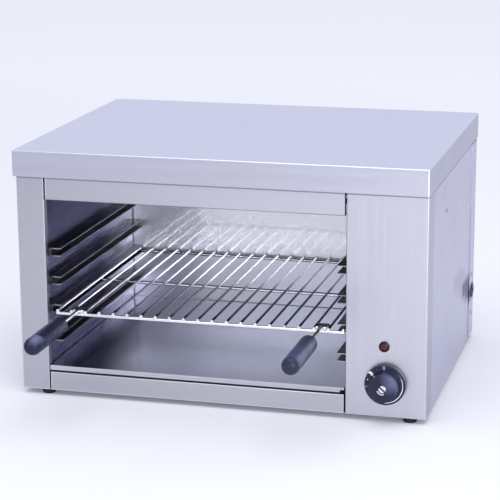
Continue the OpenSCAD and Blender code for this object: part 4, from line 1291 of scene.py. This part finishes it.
class MELTER_OT_set_stage(bpy.types.Operator):
    """Set the camera, the pale floor, the surroundings and the lamps"""

    bl_idname = "melter.set_stage"
    bl_label = "Set stage"

    def execute(self, context):
        stage = context.scene.melter.stage
        self.add_camera(context.scene, stage)
        self.add_floor(stage)
        self.add_surroundings(context.scene, stage)
        self.add_lamp(
            "key_lamp", at=(0.2, -0.7, 2.4), towards=(0.0, 0.05, 0.1), size=2.2, power=stage.key
        )
        self.add_lamp(
            "front_lamp", at=(1.3, -2.7, 0.6), towards=(0.0, 0.0, 0.2), size=1.15, power=stage.fill
        )
        context.scene.view_settings.view_transform = "Standard"
        return {"FINISHED"}

    def add_camera(self, scene, stage):
        """The camera looks down its own -Z, turned by azimuth, elevation and roll in that order."""
        data = bpy.data.cameras.new("camera")
        data.lens = stage.lens_mm
        data.sensor_width = 36.0
        data.clip_end = 100.0
        scene.camera = link_object("camera", data)
        scene.camera.matrix_world = (
            Matrix.Translation(stage.camera_at)
            @ Matrix.Rotation(stage.azimuth, 4, "Z")
            @ Matrix.Rotation(math.pi / 2 - stage.elevation, 4, "X")
            @ Matrix.Rotation(stage.roll, 4, "Z")
        )

    def add_floor(self, stage):
        """A wide square of pale paper at the counter's height, lit to near white far away."""
        half, near, far = 14.0, -0.5, 2.9
        mesh = bpy.data.meshes.new("paper_floor")
        corners = [(-half, -half, 0.0), (half, -half, 0.0), (half, half, 0.0), (-half, half, 0.0)]
        mesh.from_pydata(corners, [], [(0, 1, 2, 3)])
        material, tree, shader, place = start_material(
            "paper", Roughness=0.9, Specular_IOR_Level=0.0, Emission_Color=opaque(stage.floor)
        )
        clouds = noise(tree, place, 1.2, 2.0)
        tone = blend_colour(tree, clouds, darker(stage.floor, 0.985), tuple(stage.floor))
        fill(tree, shader["Base Color"], tone)
        glow = span(tree, split(tree, place)[1], near, far, stage.near_glow, stage.far_glow)
        glow = calc(tree, "MULTIPLY", glow, background_rays(tree))
        fill(tree, shader["Emission Strength"], glow)
        mesh.materials.append(material)
        floor = link_object("paper_floor", mesh)

    def add_surroundings(self, scene, stage):
        """Even light for the paint and plastic, and a pale room for the camera, metal and glass."""
        scene.world = bpy.data.worlds.new("pale_room")
        scene.world.use_nodes = True
        tree = scene.world.node_tree
        shown = tree.nodes["Background"].inputs
        shown["Color"].default_value = opaque(stage.sky)
        strength = span(tree, background_rays(tree), 0.0, 1.0, stage.ambient, 1.0)
        fill(tree, shown["Strength"], strength)

    def add_lamp(self, name, at, towards, size, power):
        """A square soft lamp that faces a point."""
        data = bpy.data.lights.new(name, "AREA")
        data.size = size
        data.energy = power
        facing = (Vector(towards) - Vector(at)).to_track_quat("-Z", "Y")
        lamp = link_object(name, data)
        lamp.matrix_world = Matrix.Translation(at) @ facing.to_matrix().to_4x4()


OPERATORS = (
    MELTER_OT_set_stage,
    MELTER_OT_dress_casing,
    MELTER_OT_close_header,
    MELTER_OT_dress_cavity,
    MELTER_OT_dress_heating,
    MELTER_OT_build_rack,
    MELTER_OT_build_handles,
    MELTER_OT_build_knob,
    MELTER_OT_build_pilot,
    MELTER_OT_build_feet,
)


class MELTER_PT_panel(bpy.types.Panel):
    """Lists the steps that dress and build the melter"""

    bl_idname = "MELTER_PT_panel"
    bl_label = "Cheese melter"
    bl_space_type = "VIEW_3D"
    bl_region_type = "UI"
    bl_category = "Melter"

    def draw(self, context):
        for operator in OPERATORS:
            self.layout.operator(operator.bl_idname)


CLASSES = (
    MelterFinish,
    MelterRack,
    MelterKnob,
    MelterStage,
    MelterSettings,
    *OPERATORS,
    MELTER_PT_panel,
)


def register():
    for item in CLASSES:
        bpy.utils.register_class(item)
    bpy.types.Scene.melter = PointerProperty(type=MelterSettings)


def unregister():
    del bpy.types.Scene.melter
    for item in reversed(CLASSES):
        bpy.utils.unregister_class(item)


def main():
    """Run every step in order."""
    register()
    for operator in OPERATORS:
        _, step = operator.bl_idname.split(".")
        getattr(bpy.ops.melter, step)()


if __name__ == "__main__":
    main()
